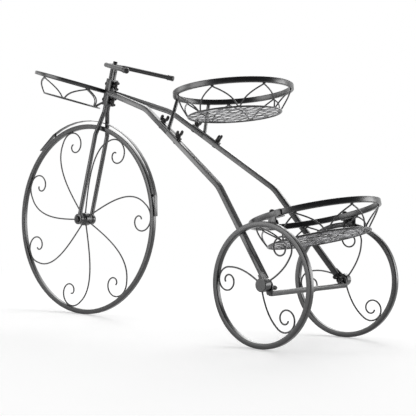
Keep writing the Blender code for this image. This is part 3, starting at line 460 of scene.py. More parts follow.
def copies_tree():
    """Sets a copy of a pattern piece on each point, turned and swelled by the point's own values."""
    tree, add, given, result = new_tree("copies_on_points", Object=["Pattern"])
    pattern = add("GeometryNodeObjectInfo", {"Object": given["Pattern"]})
    turn = add("GeometryNodeInputNamedAttribute", {"Name": "turn"}, data_type="FLOAT_VECTOR")
    facing = add("FunctionNodeEulerToRotation", {0: turn})
    swell = add("GeometryNodeInputNamedAttribute", {"Name": "swell"}, data_type="FLOAT_VECTOR")
    points = add("GeometryNodeMeshToPoints", {"Mesh": given["Geometry"]})
    placed = add("GeometryNodeInstanceOnPoints",
        {"Points": points, "Instance": pattern.outputs["Geometry"], "Rotation": facing, "Scale": swell})
    fill(result, {0: add("GeometryNodeRealizeInstances", {0: placed})})
    return tree


def hoop_tree():
    """A rectangle with rounded corners, carried round a circle about Z."""
    tree, add, given, result = new_tree("rolled_tube_hoop", Float=["Radius", "Depth", "Width", "Corner"],
        Int=["Steps"], Material=["Finish"])
    line = add("GeometryNodeCurvePrimitiveCircle", {"Resolution": given["Steps"], "Radius": given["Radius"]})
    outline = add("GeometryNodeCurvePrimitiveQuadrilateral",
        {"Width": given["Depth"], "Height": given["Width"]})
    section = add("GeometryNodeFilletCurve", {"Curve": outline, "Count": 4, "Radius": given["Corner"],
        "Limit Radius": True}, mode="POLY")
    tube = add("GeometryNodeCurveToMesh", {"Curve": line, "Profile Curve": section})
    painted = add("GeometryNodeSetMaterial", {0: tube, "Material": given["Finish"]})
    fill(result, {0: painted})
    return tree


def leaf_mesh_tree():
    """Flat steel strands that wave against each other and meet at their crests, cut to a disc."""
    tree, add, given, result = new_tree("leaf_mesh_disc", Int=["Strands", "Steps"], Material=["Finish"],
        Float=["Edge Radius", "Strand Spacing", "Wave Length", "Strand Width", "Sheet", "Unevenness", "Seed"])
    near_edge = add("ShaderNodeMath", {0: given["Edge Radius"], 1: -1.0}, operation="MULTIPLY")
    start = add("ShaderNodeCombineXYZ", {"X": near_edge})
    end = add("ShaderNodeCombineXYZ", {"X": given["Edge Radius"]})
    line = add("GeometryNodeCurvePrimitiveLine", {"Start": start, "End": end})
    fine = add("GeometryNodeResampleCurve", {"Curve": line, "Count": given["Steps"]})
    first_row = add("ShaderNodeCombineXYZ", {"Y": near_edge})
    shift = add("ShaderNodeCombineXYZ", {"Y": given["Strand Spacing"]})
    rows = add("GeometryNodeMeshLine", {"Count": given["Strands"], "Start Location": first_row,
        "Offset": shift}, mode="OFFSET")
    laid = add("GeometryNodeInstanceOnPoints", {"Points": rows, "Instance": fine})
    real = add("GeometryNodeRealizeInstances", {0: laid})
    where = add("GeometryNodeInputPosition")
    xyz = add("ShaderNodeSeparateXYZ", {0: where})
    drift = add("ShaderNodeTexNoise", {"Vector": where, "W": given["Seed"], "Scale": per_mm(27),
        "Detail": 1.0}, noise_dimensions="4D")
    wander = add("ShaderNodeTexNoise", {"Vector": where, "W": given["Seed"], "Scale": per_mm(16),
        "Detail": 2.0}, noise_dimensions="4D")

    # Each strand is a sine line, half a wave behind its neighbours, that drifts and wanders unevenly.
    values = {"x": xyz.outputs["X"], "y": xyz.outputs["Y"], "near edge": near_edge, "drift": drift,
        "wander": wander}
    for result_name, operation, first, second in (
            ("from edge", "SUBTRACT", "y", "near edge"),
            ("rows from edge", "DIVIDE", "from edge", given["Strand Spacing"]),
            ("row", "ROUND", "rows from edge", 0.0),
            ("odd row", "MODULO", "row", 2.0),
            ("half turn", "MULTIPLY", "odd row", pi),
            ("waves along", "DIVIDE", "x", given["Wave Length"]),
            ("turns along", "MULTIPLY", "waves along", tau),
            ("even phase", "ADD", "half turn", "turns along"),
            ("drift from middle", "SUBTRACT", "drift", 0.5),
            ("late phase", "MULTIPLY", "drift from middle", 8.0),
            ("phase", "ADD", "even phase", "late phase"),
            ("sine", "SINE", "phase", 0.0),
            ("crest", "MULTIPLY", given["Strand Spacing"], 0.52),
            ("wave", "MULTIPLY", "sine", "crest"),
            ("wander from middle", "SUBTRACT", "wander", 0.5),
            ("uneven", "MULTIPLY", "wander from middle", given["Unevenness"]),
            ("offset", "ADD", "wave", "uneven")):
        step = add("ShaderNodeMath", {0: values.get(first, first), 1: values.get(second, second)},
            operation=operation)
        values[result_name] = step
    offset = add("ShaderNodeCombineXYZ", {"Y": values["offset"]})
    waved = add("GeometryNodeSetPosition", {"Geometry": real, "Offset": offset})
    reach = add("ShaderNodeVectorMath", {0: where}, operation="LENGTH")
    beyond = add("FunctionNodeCompare", {0: reach, 1: given["Edge Radius"]}, data_type="FLOAT",
        operation="GREATER_THAN")
    trimmed = add("GeometryNodeDeleteGeometry", {"Geometry": waved, "Selection": beyond}, domain="POINT")
    section = add("GeometryNodeCurvePrimitiveQuadrilateral",
        {"Width": given["Strand Width"], "Height": given["Sheet"]})
    strands = add("GeometryNodeCurveToMesh", {"Curve": trimmed, "Profile Curve": section, "Fill Caps": True})
    painted = add("GeometryNodeSetMaterial", {0: strands, "Material": given["Finish"]})
    fill(result, {0: painted})
    return tree


copies_on_points = copies_tree()
rolled_hoop = hoop_tree()
leaf_mesh = leaf_mesh_tree()


def set_copies(name, pattern, places, swells=None):
    """One piece made of a copy of the pattern at every place; the pattern object itself goes away."""
    piece = new_object(name)
    piece.data.from_pydata([m.to_translation() for m in places], [], [])
    turns = piece.data.attributes.new("turn", "FLOAT_VECTOR", "POINT")
    turns.data.foreach_set("vector", [a for m in places for a in m.to_euler()])
    sizes = piece.data.attributes.new("swell", "FLOAT_VECTOR", "POINT")
    sizes.data.foreach_set("vector", [a for s in (swells or [(1.0, 1.0, 1.0)] * len(places)) for a in s])
    run_tree(piece, copies_on_points, {"Pattern": pattern})
    bpy.data.objects.remove(pattern)
    shade(piece)
    return piece


def hoop(name, centre, axis, radius, depth, width, corner, steps, finish):
    """A rolled hoop whose outer face lies at the radius."""
    piece = new_object(name)
    run_tree(piece, rolled_hoop, {"Radius": radius - depth / 2, "Depth": depth, "Width": width,
        "Corner": corner, "Steps": steps, "Finish": finish})
    hint = straight_up if abs(axis.z) < 0.5 else straight_back
    piece.data.transform(placing(centre, axis, hint))
    shade(piece, 50.0)
    return piece


def joined(name, *pieces):
    """Several pieces of one finish as one mesh."""
    bm = bmesh.new()
    finish = pieces[0].data.materials[0]
    for piece in pieces:
        bm.from_mesh(piece.data)
        bpy.data.objects.remove(piece)
    return plain_object(name, bm, finish)


def weld_bead(length, width, height):
    """A small laid weld: a flattened drop with uneven ripples, lying along X and rising along Z."""
    bm = bmesh.new()
    bmesh.ops.create_icosphere(bm, subdivisions=3, radius=1.0)
    for vertex in bm.verts:
        ripple = 1.0 + 0.16 * noise(vertex.co * 2.2) + 0.06 * sin(vertex.co.x * 9.0)
        vertex.co = Vector((vertex.co.x * length * ripple, vertex.co.y * width * ripple,
            vertex.co.z * height * ripple))
    return mesh_object("bead_pattern", bm, wire_coat, 60.0)


# Wheels with their scrolls
def scroll(wheel_inside, hub_radius, root, leave, curl, curl_end, power, sweep, start):
    """One scroll's points, outward along X and sideways along Y, on the same rule as the solid but finer."""
    curl_steps = 90
    lead_steps = 24
    solid_curl_steps = 17

    def curl_angle(share):
        return start - sweep * share ** 1.25

    def curl_radius(angle):
        return curl - (curl - curl_end) * ((start - angle) / sweep) ** power

    def on_curl(angle):
        radius = curl_radius(angle)
        middle = wheel_inside - running_gap - spoke_wire_radius - curl_radius(0.0)
        return Vector((middle + radius * cos(angle), radius * sin(angle), 0.0))

    curl_points = [on_curl(curl_angle(k / curl_steps)) for k in range(curl_steps + 1)]
    entry = curl_points[0]
    second = on_curl(curl_angle(1 / solid_curl_steps))
    foot = Vector((cos(root), sin(root), 0.0)) * hub_radius
    pull = (entry - foot).length * spoke_pull_share
    near = foot + Vector((cos(leave), sin(leave), 0.0)) * pull
    far = entry + (entry - second).normalized() * pull
    lead_points = []
    for k in range(lead_steps):
        t = k / lead_steps
        early = foot * (1 - t) ** 3 + near * 3 * t * (1 - t) ** 2
        lead_points.append(early + far * 3 * t * t * (1 - t) + entry * t ** 3)
    return lead_points + curl_points


def hub_and_scrolls(name, outline, places, centre, back, axis, hub_profile, wheel_inside, bead):
    """Hub, scrolls turned about it, and a weld at each root and where each curl meets the rim."""
    bm = bmesh.new()
    wire(bm, outline, spoke_wire_radius)
    pattern = mesh_object("scroll_pattern", bm, wire_coat)
    turns = []
    beads = []
    for place in places:
        turn = radians(place)
        outwards = back * cos(turn) + straight_up * sin(turn)
        turns.append(placing(centre, axis, outwards))
        touch = centre + outwards * (wheel_inside - running_gap)
        beads.append(placing(touch, outwards, axis.cross(outwards)))
        root = turns[-1] @ outline[0]
        beads.append(placing(root, axis.cross(outwards), outwards))
    scrolls = set_copies("scrolls", pattern, turns)
    welds = set_copies("welds", weld_bead(*bead), beads)
    bm = bmesh.new()
    turned(bm, hub_profile, 48)
    hub = mesh_object("hub", bm, wire_coat, 14.0)
    hub.data.transform(placing(centre, axis, back))
    return joined(name, hub, scrolls, welds)


def front_wheel_pieces():
    """The front rim, and its hub, which is a sleeve that swells in the middle."""
    rim = hoop("front_wheel_rim", front_axle, across, front_wheel_radius, rim_depth, rim_width, rim_corner,
        192, frame_coat)
    belongs(rim, "front_rim", body="front_wheel")
    wheel_inside = front_wheel_radius - rim_depth
    outline = scroll(wheel_inside, hub_radius=0.013, root=radians(30), leave=radians(26), curl=0.038,
        curl_end=0.004, power=0.83, sweep=radians(400), start=radians(70))
    half = fork_half_spread - fork_eye_thickness / 2 - washer_thickness - 2 * touch_gap
    flank = ((0.0036, 0.0), (0.0108, 0.0), (0.0115, 0.0007), (0.0115, 0.0025), (0.0128, 0.0034),
        (0.0137, 0.0046), (0.0140, 0.0058))
    profile = [(radius, inwards - half) for radius, inwards in flank]
    profile += [(radius, half - inwards) for radius, inwards in reversed(flank)]
    hub = hub_and_scrolls("front_hub_and_scrolls", outline, front_spoke_places, front_axle, straight_back,
        -across, profile, wheel_inside, (0.0034, 0.0022, 0.0012))
    belongs(hub, "front_hub_spokes", body="front_wheel")


def rear_wheel_pieces(side, word):
    """A rear rim, and its hub, which is closed on the outside and bored from the inside."""
    back, outward = wheel_axes(side)
    centre = rear_hub(side)
    rim = hoop("rear_wheel_rim_" + word, centre, outward, rear_wheel_radius, rim_depth, rim_width, rim_corner,
        128, frame_coat)
    belongs(rim, "rear_rim_" + word)
    wheel_inside = rear_wheel_radius - rim_depth
    outline = scroll(wheel_inside, hub_radius=rear_hub_radius - 0.001, root=radians(34), leave=radians(30),
        curl=0.025, curl_end=0.006, power=1.0, sweep=radians(480), start=radians(96))
    bore = 0.0034
    bore_end = 0.0002
    profile = [(0.0, rear_hub_outer_half), (rear_hub_radius - 0.0012, rear_hub_outer_half),
        (rear_hub_radius - 0.0004, rear_hub_outer_half - 0.0003),
        (rear_hub_radius, rear_hub_outer_half - 0.0010), (rear_hub_radius, 0.0006 - rear_hub_inner_half),
        (rear_hub_radius - 0.0006, -rear_hub_inner_half), (bore, -rear_hub_inner_half), (bore, bore_end),
        (0.0, bore_end)]
    profile = [(radius, side * height) for radius, height in profile]
    hub = hub_and_scrolls("rear_hub_and_scrolls_" + word, outline, rear_spoke_places[word], centre, back,
        outward * side, profile, wheel_inside, (0.0032, 0.0021, 0.0012))
    belongs(hub, "rear_hub_spokes_" + word)


def fender_piece():
    """The fender with its two tails bent in towards the rim; in the solid they run straight on."""
    piece = refined("fender", "front_fender", frame_coat, "front_wheel", 0.0003)
    past_spacer = 0.004
    bm = bmesh.new()
    bm.from_mesh(piece.data)
    for hand, end in ((1, "front"), (-1, "rear")):
        angle = fender_centre + hand * fender_spacer_reach
        outwards = straight_back * cos(angle) + straight_up * sin(angle)
        onwards = (straight_up * cos(angle) - straight_back * sin(angle)) * hand
        everything = bm.verts[:] + bm.edges[:] + bm.faces[:]
        bend_line = front_axle + onwards * past_spacer
        bmesh.ops.bisect_plane(bm, geom=everything, plane_co=bend_line, plane_no=onwards)
        for vertex in bm.verts:
            beyond = (vertex.co - front_axle).dot(onwards) - past_spacer
            if beyond > 0:
                vertex.co -= outwards * beyond * tan(radians(fender_tail_bends[end]))
    bm.to_mesh(piece.data)
    bm.free()


# Baskets
def basket_axes(tilt, roll=0.0):
    """A basket's directions straight back, to the right and up."""
    back = Vector((cos(tilt), 0.0, sin(tilt)))
    level_up = Vector((-sin(tilt), 0.0, cos(tilt)))
    right = across * cos(roll) + level_up * sin(roll)
    up = level_up * cos(roll) - across * sin(roll)
    return back, right, up


def arch_points(peak_radius, peak_drop, foot_radius, foot_drop, half_step):
    """One arch about X: down a cone from its peak to both feet, bowed so that it comes to a point."""
    fine = 28
    points = []
    for step in range(-fine, fine + 1):
        share = abs(step) / fine
        angle = copysign(share + arch_bow_share * sin(pi * share), step) * half_step
        out = peak_radius + (foot_radius - peak_radius) * share
        drop = peak_drop + (foot_drop - peak_drop) * share
        points.append(Vector((out * cos(angle), out * sin(angle), -drop)))
    return points


def basket_pieces(name, centre, axes, radius, floor_radius, count, phase, seed, depth=basket_depth,
        tube_height=basket_tube_height, tube_width=basket_tube_width):
    """A pot basket: tube ring, wire arches on a floor ring with their welds, and the leaf mesh floor."""
    back, right, up = axes
    top = ground + Vector((centre[0], 0.0, centre[1]))
    ring = hoop(name + "_tube_ring", top - up * tube_height / 2, up, radius, tube_width, tube_height,
        basket_tube_corner, 160, frame_coat)
    belongs(ring, name + "_ring")

    foot_radius = floor_radius - floor_wire_radius
    foot_drop = depth - floor_wire_radius
    peak_radius = radius - arch_peak_inset
    peak_drop = tube_height + touch_gap + arch_wire_radius
    half_step = pi / count - (arch_wire_radius + touch_gap) / foot_radius
    bm = bmesh.new()
    wire(bm, arch_points(peak_radius, peak_drop, foot_radius, foot_drop, half_step), arch_wire_radius, 10)
    arch = mesh_object("arch_pattern", bm, wire_coat)
    under_ring = 0.0008
    over_floor = 0.0012
    places = []
    beads = []
    for k in range(count):
        angle = phase + tau * k / count
        peak = back * cos(angle) + right * sin(angle)
        places.append(placing(top, up, peak))
        beads.append(placing(top + peak * peak_radius - up * (tube_height + under_ring), up, up.cross(peak)))
        between = angle + pi / count
        foot = back * cos(between) + right * sin(between)
        beads.append(placing(top + foot * foot_radius - up * (foot_drop - over_floor), up, up.cross(foot)))
    arches = set_copies("arches", arch, places)
    welds = set_copies("welds", weld_bead(0.0034, 0.0020, 0.0014), beads)
    rod = hoop("floor_rod", top - up * foot_drop, up, floor_radius, 2 * floor_wire_radius,
        2 * floor_wire_radius, floor_wire_radius, 128, wire_coat)
    belongs(joined(name + "_wire_arches", rod, arches, welds), name + "_arches")

    mesh = new_object(name + "_leaf_mesh")
    edge = foot_radius - floor_wire_radius * 0.3
    spacing = 0.0092
    step = 0.0013
    run_tree(mesh, leaf_mesh, {"Edge Radius": edge, "Strand Spacing": spacing, "Wave Length": 0.037,
        "Strand Width": 0.0042, "Sheet": 0.0011, "Unevenness": 0.0075, "Strands": int(2 * edge / spacing) + 1,
        "Steps": int(2 * edge / step), "Seed": seed, "Finish": mesh_coat})
    mesh.data.transform(placing(top - up * foot_drop, up, back))
    belongs(mesh, name + "_floor")


# Handlebar
def handlebar_line():
    """The tube's middle line, from the left grip's end round both bends to the right one's."""
    bend_steps = 16
    lift = stem_top + touch_gap + handlebar_tube_radius
    half = []
    for k in range(bend_steps + 1):
        angle = (pi / 2 - handlebar_sweep) * k / bend_steps
        sideways = handlebar_front_half + handlebar_bend_radius * sin(angle)
        half.append((handlebar_bend_radius * (1 - cos(angle)), sideways))
    arm_back, arm_side = half[-1]
    half.append((grip_reach_back, arm_side + (grip_reach_back - arm_back) * tan(handlebar_sweep)))
    return [on_stem(lift, b, -s) for b, s in reversed(half)] + [on_stem(lift, b, s) for b, s in half]


def grip_cap(end, outwards, word):
    """A dipped cap: a thin sleeve with a rolled rim at each end, and a round nose."""
    bore = handlebar_tube_radius + 0.0001
    bore_end = 0.0112
    sleeve = handlebar_tube_radius + touch_gap + grip_sleeve_wall
    bm = bmesh.new()
    turned(bm, [(0.0, 0.0143), (sleeve - 0.0018, 0.0142), (sleeve - 0.0006, 0.0136), (sleeve, 0.0124),
        (sleeve, 0.0109), (sleeve - 0.0005, 0.0104), (sleeve - 0.0005, 0.0016), (sleeve, 0.0012),
        (sleeve, 0.0003), (sleeve - 0.0002, 0.0), (bore, 0.0), (bore, bore_end), (0.0, bore_end)], 36)
    cap = mesh_object("grip_cap_" + word, bm, vinyl)
    cap.data.transform(placing(end - outwards * grip_sleeve_length, outwards, straight_up))
    belongs(cap, "handlebar_cap_" + word)


def handlebar_pieces():
    line = handlebar_line()
    bm = bmesh.new()
    wire(bm, line, handlebar_tube_radius, 28)
    belongs(mesh_object("handlebar_tube", bm, frame_coat), "handlebar")
    for end, inner, word in ((line[0], line[1], "left"), (line[-1], line[-2], "right")):
        grip_cap(end, (end - inner).normalized(), word)
    bm = bmesh.new()
    shank = 0.0020
    turned(bm, [(0.0, 0.0052), (0.0034, 0.0052), (0.0043, 0.0049), (0.0047, 0.0042), (0.0048, 0.0),
        (shank, 0.0), (shank, -0.025), (0.0, -0.0256)], 32)
    screw = mesh_object("handlebar_top_screw", bm, steel_dark)
    tube_top = on_stem(stem_top + 2 * touch_gap + 2 * handlebar_tube_radius)
    screw.data.transform(placing(tube_top, stem_up, stem_back))
    belongs(screw, "handlebar_screw")


# Fasteners
def bolts(name, places, head, shank, length, thread, rise=bolt_head_height):
    """One piece of bolts, at a place for each node, with threaded ends; a head of 0 gives studs."""
    pitch = 0.0007
    plain_tip = 0.0006
    profile = [(0.0, 0.0)]
    if head:
        dome = ((0.0, 1.0), (0.35, 0.95), (0.68, 0.72), (0.9, 0.42), (1.0, 0.08), (1.0, 0.0))
        profile = [(head * wide, -rise * high) for wide, high in dome]
    profile += [(shank, 0.0), (shank, length - thread)]
    for k in range(int((thread - plain_tip) / pitch)):
        z = length - thread + k * pitch
        profile += [(shank, z + pitch * 0.25), (shank * 0.86, z + pitch * 0.75)]
    profile += [(shank * 0.95, length - 0.0005), (shank * 0.75, length), (0.0, length)]
    bm = bmesh.new()
    turned(bm, profile, 28)
    pattern = mesh_object("bolt_pattern", bm, steel_dark)
    belongs(set_copies(name, pattern, list(places.values())), *places)


def winged_nut():
    """A pressed wing nut along Z: coned barrel, open bore and two upswept rounded ears along X."""
    bore = 0.0030
    bm = bmesh.new()
    turned(bm, [(bore, 0.0), (0.0052, 0.0), (0.0054, 0.0003), (0.0049, 0.0044), (0.0045, 0.0061),
        (0.0041, wing_nut_height), (bore, wing_nut_height)], 32)
    nut = mesh_object("barrel", bm, steel_dark)
    ear = ((0.0034, 0.0009), (0.0064, 0.0016), (0.0086, 0.0036), (0.0095, 0.0064), (0.0096, 0.0094),
        (0.0092, 0.0120), (0.0080, 0.0139), (0.0062, 0.0145), (0.0044, 0.0138), (0.0034, 0.0116),
        (0.0033, 0.0072))
    middle_x = 0.0066
    middle_z = 0.008
    for sign in (-1, 1):
        bm = bmesh.new()
        layers = []
        for y, inset in ((-0.0021, 0.76), (-0.0012, 1.0), (0.0012, 1.0), (0.0021, 0.76)):
            outline = [(middle_x + (x - middle_x) * inset, middle_z + (z - middle_z) * inset) for x, z in ear]
            layers.append([bm.verts.new((sign * x, y, z)) for x, z in outline])
        bridge(bm, layers)
        nut = joined("wing_nut_pattern", nut, mesh_object("ear", bm, steel_dark, 60.0))
    return nut


def frame_bends(side):
    """The two bends of a frame tube's middle line, as in the solids."""
    start = on_stem(head_bolt_lift, bracket_back + touch_gap)
    back, outward = wheel_axes(side)
    hub = rear_hub(side)
    drop = Vector((hub.x - ground.x - frame_bend_rear[0], 0.0, hub.z - frame_bend_rear[1])).normalized()
    inboard = rear_hub_inner_half + touch_gap + end_plate_thickness / 2 + frame_tube / 2
    end = hub - (back * drop.x + straight_up * drop.z) * frame_end_short - outward * inboard
    slope = (abs(end.y) - frame_start_half) / (end.x - start.x)
    return [Vector((ground.x + x, side * (frame_start_half + slope * (ground.x + x - start.x)), z))
        for x, z in (frame_bend_front, frame_bend_rear)]


def head_fasteners():
    """Two bolts through bar, stem and channel; returns their nuts' places by node."""
    length = bracket_back - bar_front + 2 * touch_gap + past_nut
    places = {}
    nuts = {}
    for hand, word in ((1, "upper"), (-1, "lower")):
        lift = head_bolt_lift + hand * head_bolt_half_spacing
        places["head_bolt_" + word] = placing(on_stem(lift, bar_front - touch_gap), stem_back, stem_up)
        nuts["head_wing_nut_" + word] = placing(on_stem(lift, bracket_back + touch_gap), stem_back, stem_up)
    bolts("head_bolts", places, bolt_head_radius, head_bolt_radius, length, 0.010)
    return nuts


def seat_fasteners():
    """Four bolts up through frame tubes and foot plates; returns their nuts' places."""
    low = frame_tube / 2 + touch_gap
    high = low + foot_plate_thickness
    places = {}
    nuts = {}
    for side, word in hands:
        bend_front, bend_rear = frame_bends(side)
        run = (bend_rear - bend_front).normalized()
        joint = bend_front.lerp(bend_rear, frame_joint_share)
        sideways = straight_up.cross(run).normalized()
        upward = run.cross(sideways)
        for end, shift in foot_bolt_shifts:
            place = joint + run * shift
            turn = radians(seat_nut_turns[word + "_" + end])
            wings = sideways * cos(turn) - run * sin(turn)
            places["seat_bolt_" + word + "_" + end] = placing(place - upward * low, upward, run)
            seat = place + upward * (high + touch_gap)
            nuts["seat_wing_nut_" + word + "_" + end] = placing(seat, upward, wings)
    length = frame_tube / 2 + high + 2 * touch_gap + past_nut
    bolts("seat_plate_bolts", places, bolt_head_radius, foot_bolt_radius, length, 0.009,
        foot_bolt_head_height)
    return nuts


def rear_hub_fasteners():
    """A stud in each rear hub, through end plate and tab; returns their nuts' places."""
    tab_in = rear_hub_inner_half + 2 * touch_gap + end_plate_thickness + axle_tab_thickness
    stud_start = 0.0001
    places = {}
    nuts = {}
    for side, word in hands:
        _, outward = wheel_axes(side)
        hub = rear_hub(side)
        places["rear_hub_bolt_" + word] = placing(hub - outward * stud_start, -outward, straight_up)
        nut = placing(hub - outward * (tab_in + touch_gap), -outward, hub_nut_wings)
        nuts["rear_hub_wing_nut_" + word] = nut
    length = tab_in + 2 * touch_gap + past_nut - stud_start
    bolts("rear_hub_studs", places, 0.0, rear_bolt_radius, length, 0.009)
    return nuts


def rear_basket_fasteners():
    """A bolt on each side down through the rear basket's ring and its lug; returns their nuts' places."""
    basket_back, _, basket_up = basket_axes(rear_basket_tilt)
    top = ground + Vector((rear_basket_centre[0], 0.0, rear_basket_centre[1]))
    places = {}
    nuts = {}
    for side, word in hands:
        angle = side * lug_bolt_ring_angle
        out = basket_back * cos(angle) + across * sin(angle)
        along = basket_back * sin(abs(angle)) - across * side * cos(abs(angle))
        bolt = top + out * (rear_basket_radius - basket_tube_width / 2)
        seat = bolt - basket_up * (basket_tube_height + 2 * touch_gap + lug_thickness)
        places["rear_basket_bolt_" + word] = placing(bolt + basket_up * touch_gap, -basket_up, along)
        nuts["rear_basket_wing_nut_" + word] = placing(seat, -basket_up, along)
    length = basket_tube_height + lug_thickness + 3 * touch_gap + past_nut
    bolts("rear_basket_bolts", places, bolt_head_radius, lug_bolt_radius, length, 0.009)
    return nuts


def fastener_pieces():
    """Every bolt, and all the wing nuts as one piece; the nuts at the rear hubs are a size larger."""
    nuts = {**head_fasteners(), **seat_fasteners(), **rear_hub_fasteners(), **rear_basket_fasteners()}
    swells = [hub_nut_swell if node.startswith("rear_hub") else (1.0, 1.0, 1.0) for node in nuts]
    piece = set_copies("wing_nuts", winged_nut(), list(nuts.values()), swells)
    belongs(piece, *nuts)


# Studio
def seen_rays(add):
    """Two values: 1 for camera rays alone, and 1 for camera, glossy and transmission rays."""
    rays = add("ShaderNodeLightPath").outputs
    first = add("ShaderNodeMath", {0: rays["Is Camera Ray"], 1: rays["Is Glossy Ray"]}, operation="MAXIMUM")
    seen = add("ShaderNodeMath", {0: first, 1: rays["Is Transmission Ray"]}, operation="MAXIMUM")
    return rays["Is Camera Ray"], seen


def white_room():
    """White for the camera. Other rays meet a room that is dark behind the camera and has a softbox in front.

    Diffuse rays get less than half of it, because the lamps light the object.
    """
    world = bpy.data.worlds.new("white_studio")
    bpy.context.scene.world = world
    world.use_nodes = True
    world.node_tree.nodes.clear()
    add = partial(add_node, world.node_tree)
    camera_ray, seen = seen_rays(add)
    ray = add("ShaderNodeTexCoord").outputs["Generated"]
    to_camera = add("ShaderNodeVectorMath", {0: ray, 1: (0.62, -0.75, 0.22)}, operation="DOT_PRODUCT")
    walls = add("ShaderNodeMapRange", {"Value": to_camera, "From Min": -0.20, "From Max": 0.25, "To Min": 1.0,
        "To Max": 0.10}, interpolation_type="SMOOTHSTEP")
    ahead = add("ShaderNodeVectorMath", {0: ray, 1: (-0.96, -0.28, 0.0)}, operation="DOT_PRODUCT")
    softbox = add("ShaderNodeMapRange", {"Value": ahead, "From Min": 0.955, "From Max": 0.99, "To Min": 0.0,
        "To Max": 3.2}, interpolation_type="SMOOTHSTEP")
    room = add("ShaderNodeMath", {0: walls, 1: softbox}, operation="ADD")
    level = add("ShaderNodeMapRange", {"Value": seen, "To Min": 0.45, "To Max": 1.0})
    dimmed = add("ShaderNodeMath", {0: room, 1: level}, operation="MULTIPLY")
    strength = add("ShaderNodeMath", {0: dimmed, 1: camera_ray}, operation="MAXIMUM")
    light = add("ShaderNodeBackground", {"Color": srgb("#ffffff"), "Strength": strength})
    add("ShaderNodeOutputWorld", {0: light})


def studio_floor():
    """A pale matt floor that takes the object's shadow and fades into the white surround."""
    material, add, shader, place = new_finish("pale_studio_floor")
    _, seen = seen_rays(add)
    grain = add("ShaderNodeTexNoise", {"Vector": place, "Scale": per_mm(300), "Detail": 2.0})
    tone = add("ShaderNodeMix", {mix_first: srgb("#e4e4e4"), mix_second: srgb("#ebebeb"), mix_share: grain},
        data_type="RGBA")
    lift = add("ShaderNodeMath", {0: seen, 1: 0.34}, operation="MULTIPLY")
    fill(shader, {"Base Color": tone, "Roughness": 0.9, "Specular IOR Level": 0.1, "Emission Strength": lift,
        "Emission Color": srgb("#ffffff")})
    away = add("ShaderNodeVectorMath", {0: place}, operation="LENGTH")
    fading = add("ShaderNodeMapRange", {"Value": away, "From Min": 0.5, "From Max": 1.6},
        interpolation_type="SMOOTHSTEP")
    share = add("ShaderNodeMath", {0: fading, 1: seen}, operation="MULTIPLY")
    backdrop = add("ShaderNodeEmission", {"Color": srgb("#ffffff"), "Strength": 1.0})
    blend = add("ShaderNodeMixShader", {0: share, 1: shader, 2: backdrop})
    fill(material.node_tree.nodes["Material Output"], {"Surface": blend})
    bm = bmesh.new()
    bmesh.ops.create_grid(bm, x_segments=1, y_segments=1, size=30.0)
    floor = mesh_object("studio_floor", bm, material)
    floor.location.z = -0.0002


def studio_lamps():
    """Broad soft lamps: name, place, aim, side length and power."""
    for name, spot, aim, size, power in (
            ("side_panel", (-1.5, -2.8, 0.8), (0.1, 0.0, 0.25), 2.0, 56.0),
            ("rim_panel", (-1.0, 2.6, 2.2), (0.0, 0.0, 0.25), 2.4, 60.0),
            ("back_panel", (2.3, 2.5, 0.7), (0.0, 0.0, 0.25), 1.6, 50.0),
            ("overhead", (0.0, -0.4, 3.2), (0.0, 0.0, 0.2), 2.6, 26.0)):
        lamp = bpy.data.lights.new(name, "AREA")
        lamp.size = size
        lamp.energy = power
        holder = new_object(name, lamp)
        holder.matrix_world = placing(Vector(spot), Vector(spot) - Vector(aim), straight_back)


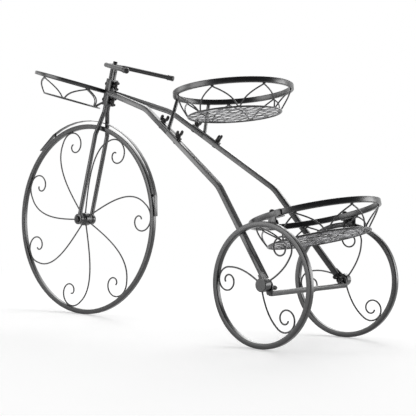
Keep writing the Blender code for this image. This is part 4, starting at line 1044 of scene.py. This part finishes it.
def photo_camera():
    """The camera that was fitted to the photograph, placed from the front wheel's foot."""
    heading = 0.694
    pitch = -0.003
    roll = 0.030
    focal_pixels = 1036.5
    picture_pixels = 416.0
    from_wheel_foot = Vector((1.6797, -1.5936, 0.2497))
    forward = Vector((-sin(heading) * cos(pitch), cos(heading) * cos(pitch), sin(pitch)))
    level = Vector((cos(heading), sin(heading), 0.0))
    right = level * cos(roll) + level.cross(forward) * sin(roll)
    camera = bpy.data.cameras.new("photo_camera")
    camera.sensor_width = 36.0
    camera.lens = camera.sensor_width * focal_pixels / picture_pixels
    camera.clip_end = 100.0
    holder = new_object("photo_camera", camera)
    holder.matrix_world = placing(ground + from_wheel_foot, -forward, right)
    bpy.context.scene.camera = holder


photo_camera()
white_room()
studio_floor()
studio_lamps()

# Solids that no piece replaces are hidden inside others, and keep the coat
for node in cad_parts.values():
    node.data.materials.clear()
    node.data.materials.append(frame_coat)

front_wheel_pieces()
for side, word in hands:
    rear_wheel_pieces(side, word)

# The front basket's ring leans a corner on its bar; the seat basket stands over the frame's joints
ring_back = on_stem(head_bolt_lift + front_basket_shift, bar_front - touch_gap) - ground
front_middle = ring_back - stem_back * (front_basket_radius / cos(pi / front_ring_sides))
bends_and_shifts = zip(frame_bend_front, frame_bend_rear, (seat_behind_joint, seat_above_joint))
seat_centre = [front + (rear - front) * frame_joint_share + shift for front, rear, shift in bends_and_shifts]
basket_pieces("front_basket", (front_middle.x, front_middle.z),
    basket_axes(-steering_lean, front_basket_roll), front_basket_radius, floor_radius=0.0654, count=5,
    phase=radians(48.0), seed=1.0, depth=0.0448, tube_height=0.0078, tube_width=0.0062)
basket_pieces("seat_basket", seat_centre, basket_axes(seat_tilt), radius=0.119, floor_radius=0.0935, count=7,
    phase=radians(30.5), seed=4.0)
basket_pieces("rear_basket", rear_basket_centre, basket_axes(rear_basket_tilt), rear_basket_radius,
    floor_radius=0.0975, count=7, phase=radians(29.5), seed=9.0)
handlebar_pieces()
fastener_pieces()
fender_piece()
for word in ("left", "right"):
    for node, name in (("fork_leg_", "fork_blade_"), ("frame_front_tube_", "front_tube_"),
                       ("frame_rear_tube_", "rear_tube_"), ("seat_post_", "saddle_post_"),
                       ("rear_basket_lug_", "basket_lug_")):
        refined(node + word, name + word, frame_coat)
    refined("front_axle_washer_" + word, "axle_washer_" + word, steel_dark, edge=0.0002)
refined("head_bracket", "stem_channel", frame_coat)
refined("front_basket_bar", "basket_bar", frame_coat)
refined("axle_bar", "rear_axle_bar", frame_coat)
refined("front_axle_bolt", "axle_bolt", steel_dark)
refined("front_axle_nut", "axle_nut", steel_dark)

bpy.context.scene.view_settings.view_transform = "Standard"
